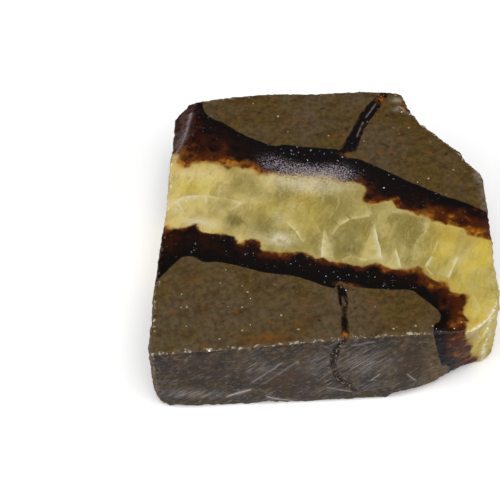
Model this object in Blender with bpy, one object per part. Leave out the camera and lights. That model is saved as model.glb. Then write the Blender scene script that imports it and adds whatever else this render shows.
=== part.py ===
"""Septarian nodule: a sawn, ground slab of one nodule, resting on its sawn underside.

Metres, +Z up. The origin is the middle of the underside's box. +X is the viewer's
right and -Y is the sawn front face. Sizes below are millimetres unless a name says
otherwise. The veins are colour, so only the stone's outside is modelled.
"""
import math
from collections import namedtuple

import bmesh
import bpy
from mathutils import Euler, Matrix, Vector, noise

MM = 0.001
NAME = "septarian_nodule"

THICKNESS = 13.9
RIM_POINTS = 190

# The wall stands this far outside the upper and lower outlines, because both edges are
# worn round. Each ring of a worn edge has a height, how far it is set in from the wall,
# and its share of the wall's lumps.
EDGE_WEAR = 0.18
FOOT_RINGS = ((0.0, 0.53, 0.4), (0.14, 0.27, 0.6))
TOP_RINGS = ((THICKNESS - 0.22, 0.045, 0.3), (THICKNESS, EDGE_WEAR, 0.0))

# Rings up the wall as shares of its height, foot to top
WALL_LEVELS = (0.10, 0.19, 0.29, 0.40, 0.51, 0.62, 0.73, 0.83, 0.91, 0.96)

# How full the wall's bulge is: a half sine, raised to a power below 1 to flatten its top
BULGE_FULLNESS = 0.6

# The middle of the slab's box in the measures below, which becomes the origin
MIDDLE = Vector((-0.127, 0.298, 0.0))

# Roughness of the wall in two sizes of lump
COARSE_LUMP = 7.0
FINE_LUMP = 2.2
FINE_SHARE = 0.45
NOISE_SEED = Vector((3.7, 11.2, 5.1))
LENS_RIPPLE = 0.18
LENS_RIPPLE_PACE = 1.7

STONE_COLOR = (0.105, 0.085, 0.045, 1.0)
STONE_ROUGHNESS = 0.45

# One stretch of the rim, in order round the slab, seen from above and counter-clockwise.
# top and foot are its places on the upper and the lower face, bulge is how far the wall
# stands out between them, and rough is the height of the wall's lumps.
Station = namedtuple("Station", "top foot bulge rough")

FRONT = (
    Station((-21.3, -20.55), (-21.5, -18.6), 0.05, 0.10),
    Station((-20.9, -21.0), (-20.5, -19.85), 0.05, 0.08),
    Station((-17.0, -20.78), (-17.1, -20.2), 0.05, 0.04),
    Station((-10.0, -20.15), (-10.0, -19.85), 0.05, 0.04),
    Station((-5.0, -19.6), (-5.0, -19.65), 0.05, 0.04),
    Station((0.0, -19.1), (0.0, -19.4), 0.05, 0.04),
    Station((5.0, -18.6), (4.6, -19.1), 0.05, 0.04),
    Station((10.0, -18.25), (8.8, -18.8), 0.05, 0.06),
    Station((13.2, -18.15), (11.4, -17.9), 0.05, 0.10),
)
FRONT_RIGHT_CORNER = (
    Station((15.9, -18.1), (13.9, -16.5), 0.15, 0.12),
    Station((17.1, -17.6), (15.8, -15.15), 0.25, 0.15),
    Station((18.7, -16.3), (18.2, -13.95), 0.25, 0.15),
    Station((20.0, -14.3), (20.6, -13.4), 0.25, 0.12),
)
RIGHT = (
    Station((20.3, -12.4), (21.3, -12.1), 0.35, 0.10),
    Station((20.3, -7.0), (21.25, -7.0), 0.25, 0.12),
    Station((20.3, 0.0), (21.1, 0.0), 0.20, 0.12),
    Station((20.25, 5.4), (21.0, 5.2), 0.20, 0.15),
    Station((19.95, 6.9), (20.7, 7.2), 0.20, 0.30),
)
BROKEN = (
    Station((19.1, 7.65), (19.8, 8.3), 0.20, 0.55),
    Station((18.2, 8.75), (18.8, 9.5), 0.20, 0.70),
    Station((17.9, 9.7), (18.2, 10.6), 0.30, 0.70),
    Station((17.0, 10.8), (17.3, 11.6), 0.30, 0.70),
    Station((15.1, 12.8), (15.6, 13.4), 0.30, 0.70),
    Station((13.3, 15.0), (13.9, 15.6), 0.30, 0.70),
    Station((12.2, 16.8), (12.8, 17.2), 0.30, 0.60),
    Station((11.7, 18.2), (12.1, 18.6), 0.30, 0.50),
    Station((11.25, 19.5), (11.5, 19.9), 0.40, 0.40),
    Station((10.45, 20.4), (10.5, 20.7), 0.50, 0.35),
)
BACK = (
    Station((8.7, 20.75), (8.7, 20.6), 0.70, 0.35),
    Station((5.5, 20.8), (5.5, 20.5), 0.85, 0.40),
    Station((0.0, 20.55), (0.0, 20.1), 0.95, 0.40),
    Station((-5.0, 20.45), (-5.0, 19.8), 0.95, 0.40),
    Station((-10.0, 20.05), (-10.0, 19.3), 0.90, 0.40),
    Station((-14.5, 19.5), (-14.5, 18.7), 0.80, 0.40),
    Station((-17.2, 18.75), (-17.2, 18.0), 0.60, 0.40),
    Station((-18.75, 18.2), (-18.8, 17.4), 0.45, 0.40),
    Station((-19.45, 17.15), (-19.7, 16.4), 0.35, 0.40),
)
LEFT = (
    Station((-19.3, 15.4), (-19.7, 14.8), 0.25, 0.30),
    Station((-19.25, 12.8), (-19.8, 12.5), 0.20, 0.25),
    Station((-19.7, 9.6), (-20.3, 9.5), 0.20, 0.18),
    Station((-20.0, 4.0), (-20.6, 4.0), 0.15, 0.12),
    Station((-20.4, -2.0), (-21.0, -2.0), 0.15, 0.12),
    Station((-20.85, -8.0), (-21.3, -8.0), 0.15, 0.12),
    Station((-21.15, -15.0), (-21.6, -14.0), 0.10, 0.12),
)
RIM = FRONT + FRONT_RIGHT_CORNER + RIGHT + BROKEN + BACK + LEFT

# A chip is a shallow scar where a flake left an edge: a rounded lens is laid over the
# edge and taken away. at is the middle of the lens, turn its turn in degrees, and half
# its three half-sizes, the last one being its half thickness.
Chip = namedtuple("Chip", "name at turn half")

CHIPS = (
    Chip("left_bevel", (-20.35, 15.2, 15.25), (0.0, -36.0, -3.0), (8.0, 7.7, 3.0)),
    Chip("back_corner_flake", (11.8, 18.3, 15.0), (-8.0, 30.0, 24.0), (2.2, 2.3, 1.7)),
    Chip("front_edge_nick", (-14.2, -20.8, 14.2), (52.0, 0.0, 4.0), (0.9, 0.6, 0.45)),
    Chip("left_corner_foot", (-23.4, -21.8, -1.7), (35.0, 40.0, 20.0), (6.0, 6.0, 3.4)),
    Chip("front_foot_nick_left", (-18.4, -20.4, -0.4), (45.0, 0.0, 0.0), (1.3, 1.0, 1.0)),
    Chip("front_foot_nick_middle", (-6.9, -20.1, -0.5), (42.0, 0.0, 0.0), (2.2, 1.5, 1.1)),
    Chip("front_foot_flake_right", (11.4, -20.2, -1.75), (40.0, 0.0, 24.0), (4.6, 4.2, 2.6)),
    Chip("corner_foot_flake", (16.1, -17.9, -1.9), (42.0, 0.0, 34.0), (5.4, 4.6, 3.0)),
    Chip("right_corner_bruise", (21.6, 7.6, 14.9), (0.0, 45.0, 38.0), (2.4, 3.2, 1.9)),
    Chip("broken_edge_flake", (18.1, 12.7, 15.2), (0.0, 45.0, 46.0), (2.6, 4.2, 2.2)),
    Chip("back_foot_flake", (-6.0, 22.0, -1.6), (-42.0, 0.0, 0.0), (8.0, 5.0, 2.8)),
    Chip("left_foot_flake", (-23.0, 3.0, -1.6), (0.0, -42.0, 0.0), (4.6, 7.0, 2.8)),
)

# The broken corner's wall has a row of wide shallow scars, from its front to its back end
SCAR_COUNT = 11
SCAR_FROM = Vector((20.9, 7.4, 0.0))
SCAR_TO = Vector((12.1, 18.6, 0.0))
SCAR_HEIGHTS = (4.0, 10.4, 1.4, 7.4, 4.6, 9.8, 2.2, 7.8, 5.0, 0.8, 9.6)
SCAR_HALF = (6.2, 5.4, 2.6)
SCAR_STAND_OFF = 2.15
SCAR_SWAY = 14.0


def collection(name):
    """Makes a collection in the scene."""
    made = bpy.data.collections.new(name)
    bpy.context.scene.collection.children.link(made)
    return made


def catmull_rom(a, b, c, d, t):
    """A point of the smooth curve between b and c."""
    return 0.5 * (2 * b + (c - a) * t + (2 * a - 5 * b + 4 * c - d) * t * t
                  + (3 * b - a - 3 * c + d) * t * t * t)


def rim_at(place):
    """The rim's stretch at a place counted in stations, as top, foot, bulge and rough."""
    first = math.floor(place)
    share = place - first
    around = [RIM[(first + step) % len(RIM)] for step in (-1, 0, 1, 2)]
    top = catmull_rom(*(Vector(station.top) for station in around), share)
    foot = catmull_rom(*(Vector(station.foot) for station in around), share)
    bulge = around[1].bulge + (around[2].bulge - around[1].bulge) * share
    rough = around[1].rough + (around[2].rough - around[1].rough) * share
    return top, foot, bulge, rough


def evenly_round(count, steps=24):
    """Places round the rim, in stations, an equal way apart along the upper outline.

    steps is how finely each stretch between two stations is measured.
    """
    places = [index / steps for index in range(len(RIM) * steps + 1)]
    points = [rim_at(place)[0] for place in places]
    lengths = [0.0]
    for one, two in zip(points, points[1:]):
        lengths.append(lengths[-1] + (two - one).length)
    chosen = []
    lower = 0
    for index in range(count):
        target = lengths[-1] * index / count
        while lengths[lower + 1] < target:
            lower += 1
        share = (target - lengths[lower]) / (lengths[lower + 1] - lengths[lower])
        chosen.append(places[lower] + share / steps)
    return chosen


def lumps(point):
    """Stone-like unevenness at a point, about -1 to 1."""
    coarse = noise.noise(point / COARSE_LUMP + NOISE_SEED)
    fine = noise.noise(point / FINE_LUMP + NOISE_SEED)
    return coarse + FINE_SHARE * fine


def wall_rings():
    """The rings of points round the slab, from the foot to the top."""
    stretches = [rim_at(place) for place in evenly_round(RIM_POINTS)]
    tops = [stretch[0] for stretch in stretches]
    outwards = []
    for index in range(RIM_POINTS):
        along = tops[(index + 2) % RIM_POINTS] - tops[index - 2]
        outwards.append(Vector((along.y, -along.x)).normalized())

    def ring(height, inset, lump_share):
        """One ring at a height, set in from the wall, with a share of the wall's lumps."""
        level = height / THICKNESS
        points = []
        for (top, foot, bulge, rough), outward in zip(stretches, outwards):
            flat = foot.lerp(top, level)
            stand_out = bulge * max(0.0, math.sin(math.pi * level)) ** BULGE_FULLNESS
            spot = Vector((flat.x, flat.y, height))
            stand_out += EDGE_WEAR - inset + rough * lump_share * lumps(spot)
            points.append(Vector((flat.x + outward.x * stand_out,
                                  flat.y + outward.y * stand_out, height)))
        return points

    wall = [(THICKNESS * level, 0.0, 1.0) for level in WALL_LEVELS]
    return [ring(*measures) for measures in (*FOOT_RINGS, *wall, *TOP_RINGS)]


def make_stone(home):
    """Lofts the slab between its unlike lower and upper outlines."""
    form = bmesh.new()
    rows = [[form.verts.new((point - MIDDLE) * MM) for point in ring] for ring in wall_rings()]
    for lower, upper in zip(rows, rows[1:]):
        for index in range(RIM_POINTS):
            after = (index + 1) % RIM_POINTS
            form.faces.new((lower[index], lower[after], upper[after], upper[index]))
    form.faces.new(reversed(rows[0]))
    form.faces.new(rows[-1])
    mesh = bpy.data.meshes.new(NAME)
    form.to_mesh(mesh)
    form.free()
    stone = bpy.data.objects.new(NAME, mesh)
    home.objects.link(stone)
    return stone


def make_lens(chip, home):
    """The rounded lens that takes a chip off, a little uneven like broken stone."""
    form = bmesh.new()
    bmesh.ops.create_icosphere(form, subdivisions=3, radius=1.0)
    for point in form.verts:
        point.co *= 1.0 + LENS_RIPPLE * noise.noise(point.co * LENS_RIPPLE_PACE + Vector(chip.at))
    form.transform(Matrix.Diagonal((*(side * MM for side in chip.half), 1.0)))
    turn = Euler([math.radians(angle) for angle in chip.turn], "XYZ").to_matrix().to_4x4()
    form.transform(Matrix.Translation((Vector(chip.at) - MIDDLE) * MM) @ turn)
    mesh = bpy.data.meshes.new(chip.name)
    form.to_mesh(mesh)
    form.free()
    lens = bpy.data.objects.new(chip.name, mesh)
    lens.hide_render = True
    lens.display_type = "WIRE"
    home.objects.link(lens)
    return lens


def broken_wall_scars():
    """The row of hollow scars down the broken corner's wall."""
    way = SCAR_TO - SCAR_FROM
    outward = Vector((way.y, -way.x, 0.0)).normalized()
    facing = math.degrees(math.atan2(outward.y, outward.x))
    scars = []
    for index in range(SCAR_COUNT):
        middle = SCAR_FROM + way * ((index + 0.5) / SCAR_COUNT) + outward * SCAR_STAND_OFF
        middle.z = SCAR_HEIGHTS[index]
        tilt = 90.0 + SCAR_SWAY * noise.noise(middle)
        scars.append(Chip(f"scar_{index + 1}", tuple(middle), (0.0, tilt, facing), SCAR_HALF))
    return scars


def stone_material():
    """Fine-grained grey-brown mudstone, ground smooth but not polished."""
    material = bpy.data.materials.new("mudstone")
    material.use_nodes = True
    shader = material.node_tree.nodes["Principled BSDF"]
    shader.inputs["Base Color"].default_value = STONE_COLOR
    shader.inputs["Roughness"].default_value = STONE_ROUGHNESS
    shader.inputs["Metallic"].default_value = 0.0
    return material


def main():
    """Builds the stone and knocks its chips off."""
    for thing in list(bpy.data.objects):
        bpy.data.objects.remove(thing)
    stones = collection(NAME)
    cutters = collection("chips")
    stone = make_stone(stones)
    stone.data.materials.append(stone_material())
    for chip in (*CHIPS, *broken_wall_scars()):
        cut = stone.modifiers.new(chip.name, "BOOLEAN")
        cut.operation = "DIFFERENCE"
        cut.solver = "EXACT"
        cut.object = make_lens(chip, cutters)


main()
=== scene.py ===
"""The looks of a sawn septarian nodule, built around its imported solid.

A thick slab of grey-brown mudstone is crossed by a vein: pale yellow calcite between two dark rims that
turn amber towards the calcite. Lengths are millimetres unless a name says otherwise, and MM turns them
into Blender's metres. Outlines are given in the frame that they were measured in; OUTLINE_MIDDLE is the
slab's middle there.
"""

import logging
import math
from dataclasses import dataclass
from enum import Enum
from functools import partialmethod
from typing import Any, Sequence

import bmesh
import bpy
import numpy as np
from mathutils import Matrix, Vector


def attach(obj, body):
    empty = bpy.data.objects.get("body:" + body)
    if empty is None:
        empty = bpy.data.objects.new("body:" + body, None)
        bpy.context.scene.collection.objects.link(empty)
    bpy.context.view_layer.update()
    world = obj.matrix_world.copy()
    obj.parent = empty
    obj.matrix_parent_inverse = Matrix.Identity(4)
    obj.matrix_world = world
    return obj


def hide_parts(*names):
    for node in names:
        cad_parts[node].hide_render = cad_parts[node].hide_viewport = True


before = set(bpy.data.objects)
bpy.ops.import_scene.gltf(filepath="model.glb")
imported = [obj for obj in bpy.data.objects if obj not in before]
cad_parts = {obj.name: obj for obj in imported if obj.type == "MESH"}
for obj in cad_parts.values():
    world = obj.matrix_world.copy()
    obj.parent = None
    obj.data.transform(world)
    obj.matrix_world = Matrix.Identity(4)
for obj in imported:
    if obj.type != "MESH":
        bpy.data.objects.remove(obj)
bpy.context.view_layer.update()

LOG = logging.getLogger("septarian_nodule")

MM = 0.001
NODE = "septarian_nodule"
BODY = "root"
SLAB_TOP = 13.9
OUTLINE_MIDDLE = (-0.127, 0.298)
FAR_CORNER = (26.0, -30.0)

Point = tuple[float, float]
Triple = tuple[float, float, float]
Colour = Triple
Socket = Any

# Outlines and what is worked out from them


class Side(Enum):
    """The two rims of the vein."""

    UPPER = "upper"
    LOWER = "lower"


@dataclass(frozen=True)
class Station:
    """How a rim looks at one place across the stone.

    across: the place, along x. reach: how far amber goes into the rim. ember: how red the rest is.
    """

    across: float
    reach: float
    ember: float


@dataclass(frozen=True)
class Patch:
    """A soft oval of one tint: its middle, half length, half width, strength and turn in degrees."""

    x: float
    y: float
    length: float
    width: float
    strength: float
    turn: float = 0.0

    def weight(self, x: np.ndarray, y: np.ndarray) -> np.ndarray:
        """Works out how strong the patch is at each place.

        Args:
            x: places across the stone.
            y: places along its depth.

        Returns:
            The patch's strength there, fading to nothing outside its oval.
        """
        turn = math.radians(self.turn)
        along = (x - self.x) * math.cos(turn) + (y - self.y) * math.sin(turn)
        aside = (y - self.y) * math.cos(turn) - (x - self.x) * math.sin(turn)
        square = (along / self.length) ** 2 + (aside / self.width) ** 2
        return self.strength * np.exp(-1.2 * square)


# A stroke paints a crystal's paler edge with its painted inner reflection, a scratch, a painted highlight
# on a worn edge, or painted glints.
@dataclass(frozen=True)
class Stroke:
    """A crystal's edge, a scratch or a worn edge: a light that is crisp on its line and fades sideways.

    start and end are the line's ends; left and right are how far the light reaches on each side;
    strength is below 0 for a darker crystal; taper is 1 for a wedge with its tip at the start.
    """

    start: Point
    end: Point
    left: float
    right: float
    strength: float
    taper: float = 0.0


def patches(*rows: tuple[float, ...]) -> tuple[Patch, ...]:
    """Makes a patch of each row."""
    return tuple(Patch(*row) for row in rows)


def strokes(*rows: tuple[Any, ...]) -> tuple[Stroke, ...]:
    """Makes a stroke of each row."""
    return tuple(Stroke(*row) for row in rows)


UPPER_OUTER = (
    (-16.6, 24), (-16.2, 20.5), (-16, 18.4), (-15.5, 16.8), (-14.5, 15.9), (-13, 15.1), (-11, 13.5),
    (-9, 12.3), (-7, 11.35), (-6, 11.2), (-5, 11.45), (-3, 11.1), (0, 10.8), (2, 10.5), (2.5, 9.5),
    (3.5, 9.1), (4.5, 8.9), (6.2, 8), (8.5, 6.6), (10.7, 5.2), (13, 3.95), (15, 2.8), (17.3, 1.8),
    (20.3, 0.2), (26, -2.8),
)
UPPER_INNER = (
    (-26, 12), (-19.6, 10.6), (-19, 8.3), (-18.3, 7.4), (-17.5, 7.6), (-17.1, 8.2), (-14.5, 8.3),
    (-13.3, 7.9), (-12.6, 7.2), (-12.2, 7.6), (-9.8, 7.2), (-9, 6.9), (-8.5, 6.2), (-7.9, 6.4), (-6.3, 6.5),
    (-3.7, 6), (0, 6), (2, 5.2), (4, 4.9), (5, 4.4), (5.1, 3.7), (4.65, 2.3), (4.8, 1.7), (5.5, 1.4),
    (7.4, 1.8), (8.3, 1.9), (8.9, 0.7), (10.5, 0.3), (11.5, -0.5), (12.1, -0.4), (13.3, -1.3), (14, -1.3),
    (14.9, -2), (15.3, -1.8), (17.3, -2.6), (17.7, -3.5), (19, -3.9), (20.3, -4.3), (26, -6),
)
LOWER_INNER = (
    (-26, -1.2), (-20.5, -1.8), (-19.6, -2.5), (-17.7, -2.3), (-16.5, -1.6), (-16.2, -2.3), (-15.7, -3),
    (-13.6, -3.3), (-11.7, -3.7), (-11.2, -4.9), (-10.7, -4.9), (-10.3, -4.4), (-9.1, -4.1), (-8.2, -4.7),
    (-8.3, -5.6), (-7.9, -5.9), (-6, -6.3), (-3, -6.2), (-2, -6.7), (-1.5, -7.3), (-0.6, -7), (0, -7.6),
    (2, -7.9), (4, -8.35), (6.1, -7.9), (7.3, -8.7), (9.5, -8.85), (10.9, -8.3), (11.4, -8.5), (12.1, -9.9),
    (12.6, -10.4), (14.2, -10.8), (14.9, -12.1), (16.3, -12.5), (16.8, -12.9), (15.9, -15), (16.5, -16.4),
    (15.9, -18.1), (15.9, -30),
)
LOWER_OUTER = (
    (-26, -16), (-21, -10.5), (-19.6, -8.8), (-18.2, -7.1), (-17.4, -6.85), (-16.4, -7), (-15.3, -7.7),
    (-13.3, -7.8), (-10, -8.65), (-7.8, -9.35), (-6, -9.6), (-3.5, -10.1), (-0.5, -11.4), (0.6, -11.6),
    (1.2, -10.6), (2, -11.1), (4, -11.6), (7, -11.85), (9.8, -12), (11, -13), (12.9, -14.9), (13.1, -15.5),
    (12.9, -16.5), (12.1, -18.2), (12.1, -30),
)
UPPER_CRACK = (
    (2, 9.6), (2.1, 10.3), (2.8, 12), (3.8, 14), (4.7, 16), (5.8, 18), (7.4, 20), (9.2, 23), (10.4, 23),
    (8.9, 20), (7.8, 18), (6.5, 16), (5.5, 14), (4.8, 12), (4.3, 10.4), (3.1, 10), (2.6, 9.6),
)
LOWER_CRACK = (
    (0.5, -11), (0.9, -11.7), (0.95, -13), (1.1, -14.2), (1.3, -15.2), (1.15, -18.2), (1, -20.5),
    (1.9, -20.5), (2.1, -18), (2, -15), (2.2, -14), (2, -12.2), (1.4, -10.9),
)
# The broken flake at the back corner, where the crack's brown lining shows.
FLAKE = (
    (10.6, 18.7), (11, 19.5), (11.6, 19.1), (11.9, 17.9), (12.2, 16.7), (11.4, 17.5),
)
# A sliver of stone caught in the lower crack.
CAUGHT_SLIVER = (
    (1.42, -13.2), (1.55, -12.8), (1.78, -13.3), (1.8, -13.9), (1.62, -14.4), (1.45, -13.9),
)
# The lower crack goes on down the sawn front face; here the pairs are x and height.
WALL_CRACK = (
    (0.95, 15), (1, 13.8), (0.4, 12.5), (0, 11.5), (-0.1, 10), (-0.1, 9), (0.15, 8), (0.35, 7), (0.7, 6),
    (1.05, 5), (1.75, 4.2), (2.6, 3.3), (3.3, 2.4), (3.75, 2.5), (3.25, 3.8), (2.5, 4.7), (1.85, 5.4),
    (1.5, 6.2), (1.1, 7), (0.95, 8), (0.75, 9), (0.85, 10), (1.05, 11.5), (1.35, 12.5), (1.85, 13.8),
    (1.9, 15),
)
RIM_STATIONS = {
    Side.UPPER: (
        Station(-19, 2.2, 1), Station(-16, 1.8, 1), Station(-13, 1.9, 0.7),
        Station(-10, 1.5, 0.35), Station(-8, 0.8, 0.1), Station(-4, 0.25, 0),
        Station(3, 0.35, 0.05), Station(6, 1.2, 0.35), Station(9, 0.7, 0.15), Station(12.5, 1.5, 0.5),
        Station(16, 1.9, 0.8), Station(19.5, 2.6, 1),
    ),
    Side.LOWER: (
        Station(-20.5, 1, 0.8), Station(-18.5, 0.4, 0.6), Station(-12, 0.3, 0.45),
        Station(-9, 0.9, 0.4), Station(-4, 0.7, 0.1), Station(-1, 0.6, 0.1), Station(5, 0.6, 0.1),
        Station(8, 0.7, 0.2), Station(10.5, 1.2, 0.6), Station(13.5, 1.8, 1), Station(16.5, 1.5, 1),
    ),
}
# The calcite from left to right: place across, how pale it is, how golden it is.
CALCITE_STATIONS = (
    (-20, 1, 0.1), (-16, 0.8, 0.15), (-12, 0.55, 0), (-7, 0.35, 0), (0, 0.12, 0), (5, 0.15, 0),
    (9, 0.1, 0.05), (12, 0.05, 0.1), (15, 0.15, 0.55), (18, 0.3, 0.95), (20, 0.45, 0.9),
)
# Tints that differ from place to place on the upper face, by the name of the field that holds them.
SURFACE_PATCHES = {
    "gold": patches(
        (-16.6, 4, 2.6, 1, 0.85), (-2.4, 0.6, 2.2, 3.6, 0.6, 20), (-7.5, 1.2, 1.8, 1.4, 0.3),
        (5, -4.6, 1.2, 2.6, 0.35, 10), (14.2, -6, 1.2, 2.4, 0.6, -20), (17, -14.4, 0.8, 1.6, 0.3),
    ),
    # Milky patches in the calcite; the long one at (-2.5, 4.6) lies under the painted glare and paints its
    # pale veil.
    "cloud": patches(
        (-15.9, -1.6, 2, 0.7, 0.85, -10), (-6, -4.2, 1.9, 1, 0.95, -10), (-5.8, -1, 0.8, 1, 0.3),
        (-18.9, 0.4, 0.9, 1, 0.3), (-0.2, -5.4, 0.7, 1.8, 0.55), (12.3, -1.9, 0.9, 0.5, 0.35, 60),
        (-2.5, 4.6, 5.5, 1.1, 0.45, -8), (16.9, -17.6, 1, 0.7, 0.4), (9, 0.2, 1.4, 0.3, 0.45, -8),
        (19.2, -13, 0.8, 3.4, 0.2, -10), (-16.5, 6.6, 3.4, 0.8, 0.3),
    ),
    "olive": patches(
        (-1, 1.2, 3.4, 2.2, 0.25, 15), (2.9, -4.3, 3, 1.4, 0.85, 66), (-11.6, -1.3, 1, 0.9, 1.3),
        (-8, -2.6, 3, 1.2, 0.4, -10), (10.4, -3.4, 1.5, 3.2, 0.5, -12), (9.8, -8, 1.2, 0.8, 0.3),
        (14.2, -8.4, 0.8, 1.6, 0.25, -20), (-14, 0.2, 1, 1.4, 0.55), (-9.6, 3.4, 1.8, 0.8, 0.3),
        (5.9, -0.9, 0.4, 0.6, 0.5),
    ),
    "rust": patches(
        (-7.6, -19, 2.3, 0.9, 0.95, 5), (-3.8, -16.6, 0.7, 0.5, 0.75), (-3.4, -14.2, 1.4, 0.7, 0.45, 20),
        (5, -13.9, 0.8, 0.5, 0.7), (6.2, -15.4, 0.5, 0.4, 0.5), (11.8, 14.6, 0.4, 0.3, 0.8),
        (1.6, 13, 1.4, 0.5, 0.3, 25), (-4.2, 15.6, 1.2, 0.5, 0.45, 20), (11.2, 18.3, 0.9, 1.3, 0.95),
        (3.4, 9.6, 1, 0.35, 0.75, -8), (2.2, -11.2, 1.2, 0.25, 0.55, -10), (8.2, 19.6, 0.9, 0.6, 0.6, 40),
        (1.6, -18.4, 0.5, 0.4, 0.9), (-16.6, -10.5, 3, 0.8, 0.2, 10),
    ),
    "orange": patches(
        (15.2, -3.6, 2, 0.7, 0.55, -12), (-16, 7, 2.6, 0.6, 0.35, -4), (17.6, -4.7, 1.6, 0.5, 0.4, -10),
        (-20, -1, 0.9, 0.9, 0.45), (16.9, -16.2, 0.8, 1, 0.2), (18, -17.8, 0.25, 0.25, 1),
        (17.4, -19.2, 1.5, 1.5, 0.75), (-19.2, 7, 0.7, 1.2, 0.3),
    ),
    "glow": patches(
        (-18.2, 8.4, 1.5, 1, 2.2), (-12.9, 8.3, 2.3, 0.7, 1.2), (-9, 7.1, 1.4, 0.6, 1.1, -25),
        (-15.6, 8.2, 1.2, 0.5, 1), (-17.6, 10.6, 1.6, 0.9, 0.28), (4.9, 3, 0.5, 1.2, 0.3),
        (13, -0.3, 1.2, 0.8, 0.6, -20), (15.7, -0.6, 0.4, 0.3, 1.2), (18.8, -3.2, 1.2, 0.6, 1.6, -10),
        (11.9, 1.1, 0.8, 0.4, 0.25), (-19.9, -2.2, 0.8, 0.6, 0.8), (-18.4, -2.2, 0.7, 0.3, 0.45),
        (-3.8, -6.6, 1.8, 0.35, 0.6, -8), (-6.9, -6.3, 1, 0.3, 0.45), (5.8, -8, 0.6, 0.3, 0.5),
        (10.4, -9, 1.2, 0.5, 0.5, -10), (12, -9.5, 0.35, 0.9, 0.6, 15), (13.9, -11.2, 1.3, 0.5, 0.6, -15),
        (16.7, -13.6, 0.5, 1.3, 0.8), (14, -17, 0.9, 0.5, 0.55), (15.6, -19.6, 0.9, 1.2, 0.55),
    ),
    "pit": patches(
        (10.5, 13.25, 0.75, 0.3, 0.95), (-0.7, 13.2, 0.3, 0.2, 0.9), (3.5, -12.7, 0.28, 0.16, 0.9),
        (-18.2, -17.8, 0.55, 0.22, 0.6), (-13.7, -16.7, 0.2, 0.3, 0.5), (0.3, 17.8, 0.25, 0.25, 0.6),
    ),
    # Painted glare: the soft lamp's reflection, with its sparkle, on the polished upper face.
    "painted_glare_area": patches(
        (-1.4, 6.8, 4.6, 1.3, 1, -9), (-6.6, 8.3, 2.6, 1.6, 0.55, -24), (2.2, 6.8, 2.4, 1.7, 0.5, -20),
        (-2.6, 4.5, 4.6, 1.8, 0.8, -8), (-5.4, -4.6, 1.6, 1, 0.3),
    ),
    # Rubbed corners and edges; on the bevel at the back left this is also a painted sheen where the lamp
    # catches it.
    "wear": patches(
        (-19.2, 14.2, 0.9, 4.6, 0.75), (-18, 17.6, 1.3, 1, 0.55), (20.1, 2, 0.5, 7, 0.35),
        (19.9, 6.4, 0.6, 1.2, 0.8), (10.2, 19.4, 0.8, 0.6, 0.8), (9.9, 17.7, 0.5, 0.4, 0.7),
    ),
}
# Stains and rubbed places on the sawn front face; here the pairs are x and height.
FRONT_PATCHES = {
    "front_brown": patches(
        (-5, 6.6, 2.8, 2.6, 1.1, 20), (10.6, 7.5, 2.2, 4.5, 1), (-14, 8.5, 5.5, 2.4, 0.7),
        (-10.5, 11.5, 8, 1, 0.45), (5, 12.4, 3, 0.8, 0.3), (-17, 12.5, 3, 1.4, 0.35),
    ),
    "front_pale": patches(
        (-17, 3.8, 4.2, 1.1, 1, -6), (-10.8, 3.6, 1.8, 0.5, 1, 24), (-1.5, 9, 3, 2.6, 0.45, 40),
        (4.6, 8.8, 3, 3.4, 0.6, 40), (-6, 1.3, 3.4, 0.5, 0.7, -12), (-8.6, 9.6, 1.6, 3.4, 0.4, 40),
        (2, 3.4, 6, 1, 0.4, 4), (12, 3.6, 2.6, 0.5, 0.55, 30),
    ),
}
# Scratches on the front face; here the pairs are x and height.
SCRATCHES = strokes(
    ((-9.6, 5.6), (-5.4, 10.4), 0.3, 0.06, 0.55), ((-8.4, 5.2), (-3.6, 10.6), 0.06, 0.25, 0.4),
    ((-12.6, 2.8), (-9.4, 4.4), 0.16, 0.2, 1.2), ((-7.8, 2.4), (-4.2, 0.7), 0.1, 0.16, 1.1),
    ((5.2, 4.6), (6.4, 6.2), 0.08, 0.08, 1), ((9.6, 5.8), (11, 3.6), 0.08, 0.08, 1),
    ((-0.4, 3.9), (3.2, 2.4), 0.08, 0.1, 0.75), ((3.8, 2.2), (8.4, 3.4), 0.06, 0.06, 0.4),
    ((2.2, 12.4), (5.4, 13), 0.2, 0.06, 0.45), ((-1.6, 5), (1, 8.6), 0.06, 0.2, 0.3),
)
# Painted highlights seen from above: the lit ridge of the worn bevel, and glints along the upper crack's
# middle.
RIDGE_HIGHLIGHTS = strokes(
    ((-17.5, 17.6), (-17.9, 15.3), 0.16, 0.34, 1), ((-17.9, 15.5), (-18.3, 13.2), 0.16, 0.34, 1),
    ((-18.3, 13.4), (-18.8, 11.4), 0.14, 0.26, 0.95), ((-18.7, 11.6), (-19.5, 9.9), 0.12, 0.22, 0.8),
    ((4.4, 12.6), (5.5, 15.6), 0.07, 0.09, 0.7), ((5.7, 16), (7.4, 18.9), 0.07, 0.09, 0.7),
)
# Painted highlights seen from above: the streak along the rubbed edge of the front right corner, and glints
# at the broken flake.
CORNER_HIGHLIGHTS = strokes(
    ((20.3, -13.2), (19.2, -15.5), 0.22, 0.2, 0.85), ((19.3, -15.3), (18.5, -16.6), 0.2, 0.18, 0.8),
    ((18.6, -16.4), (17.6, -17.4), 0.22, 0.2, 0.85), ((10.3, 18.4), (12, 16.8), 0.1, 0.2, 1),
)
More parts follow.
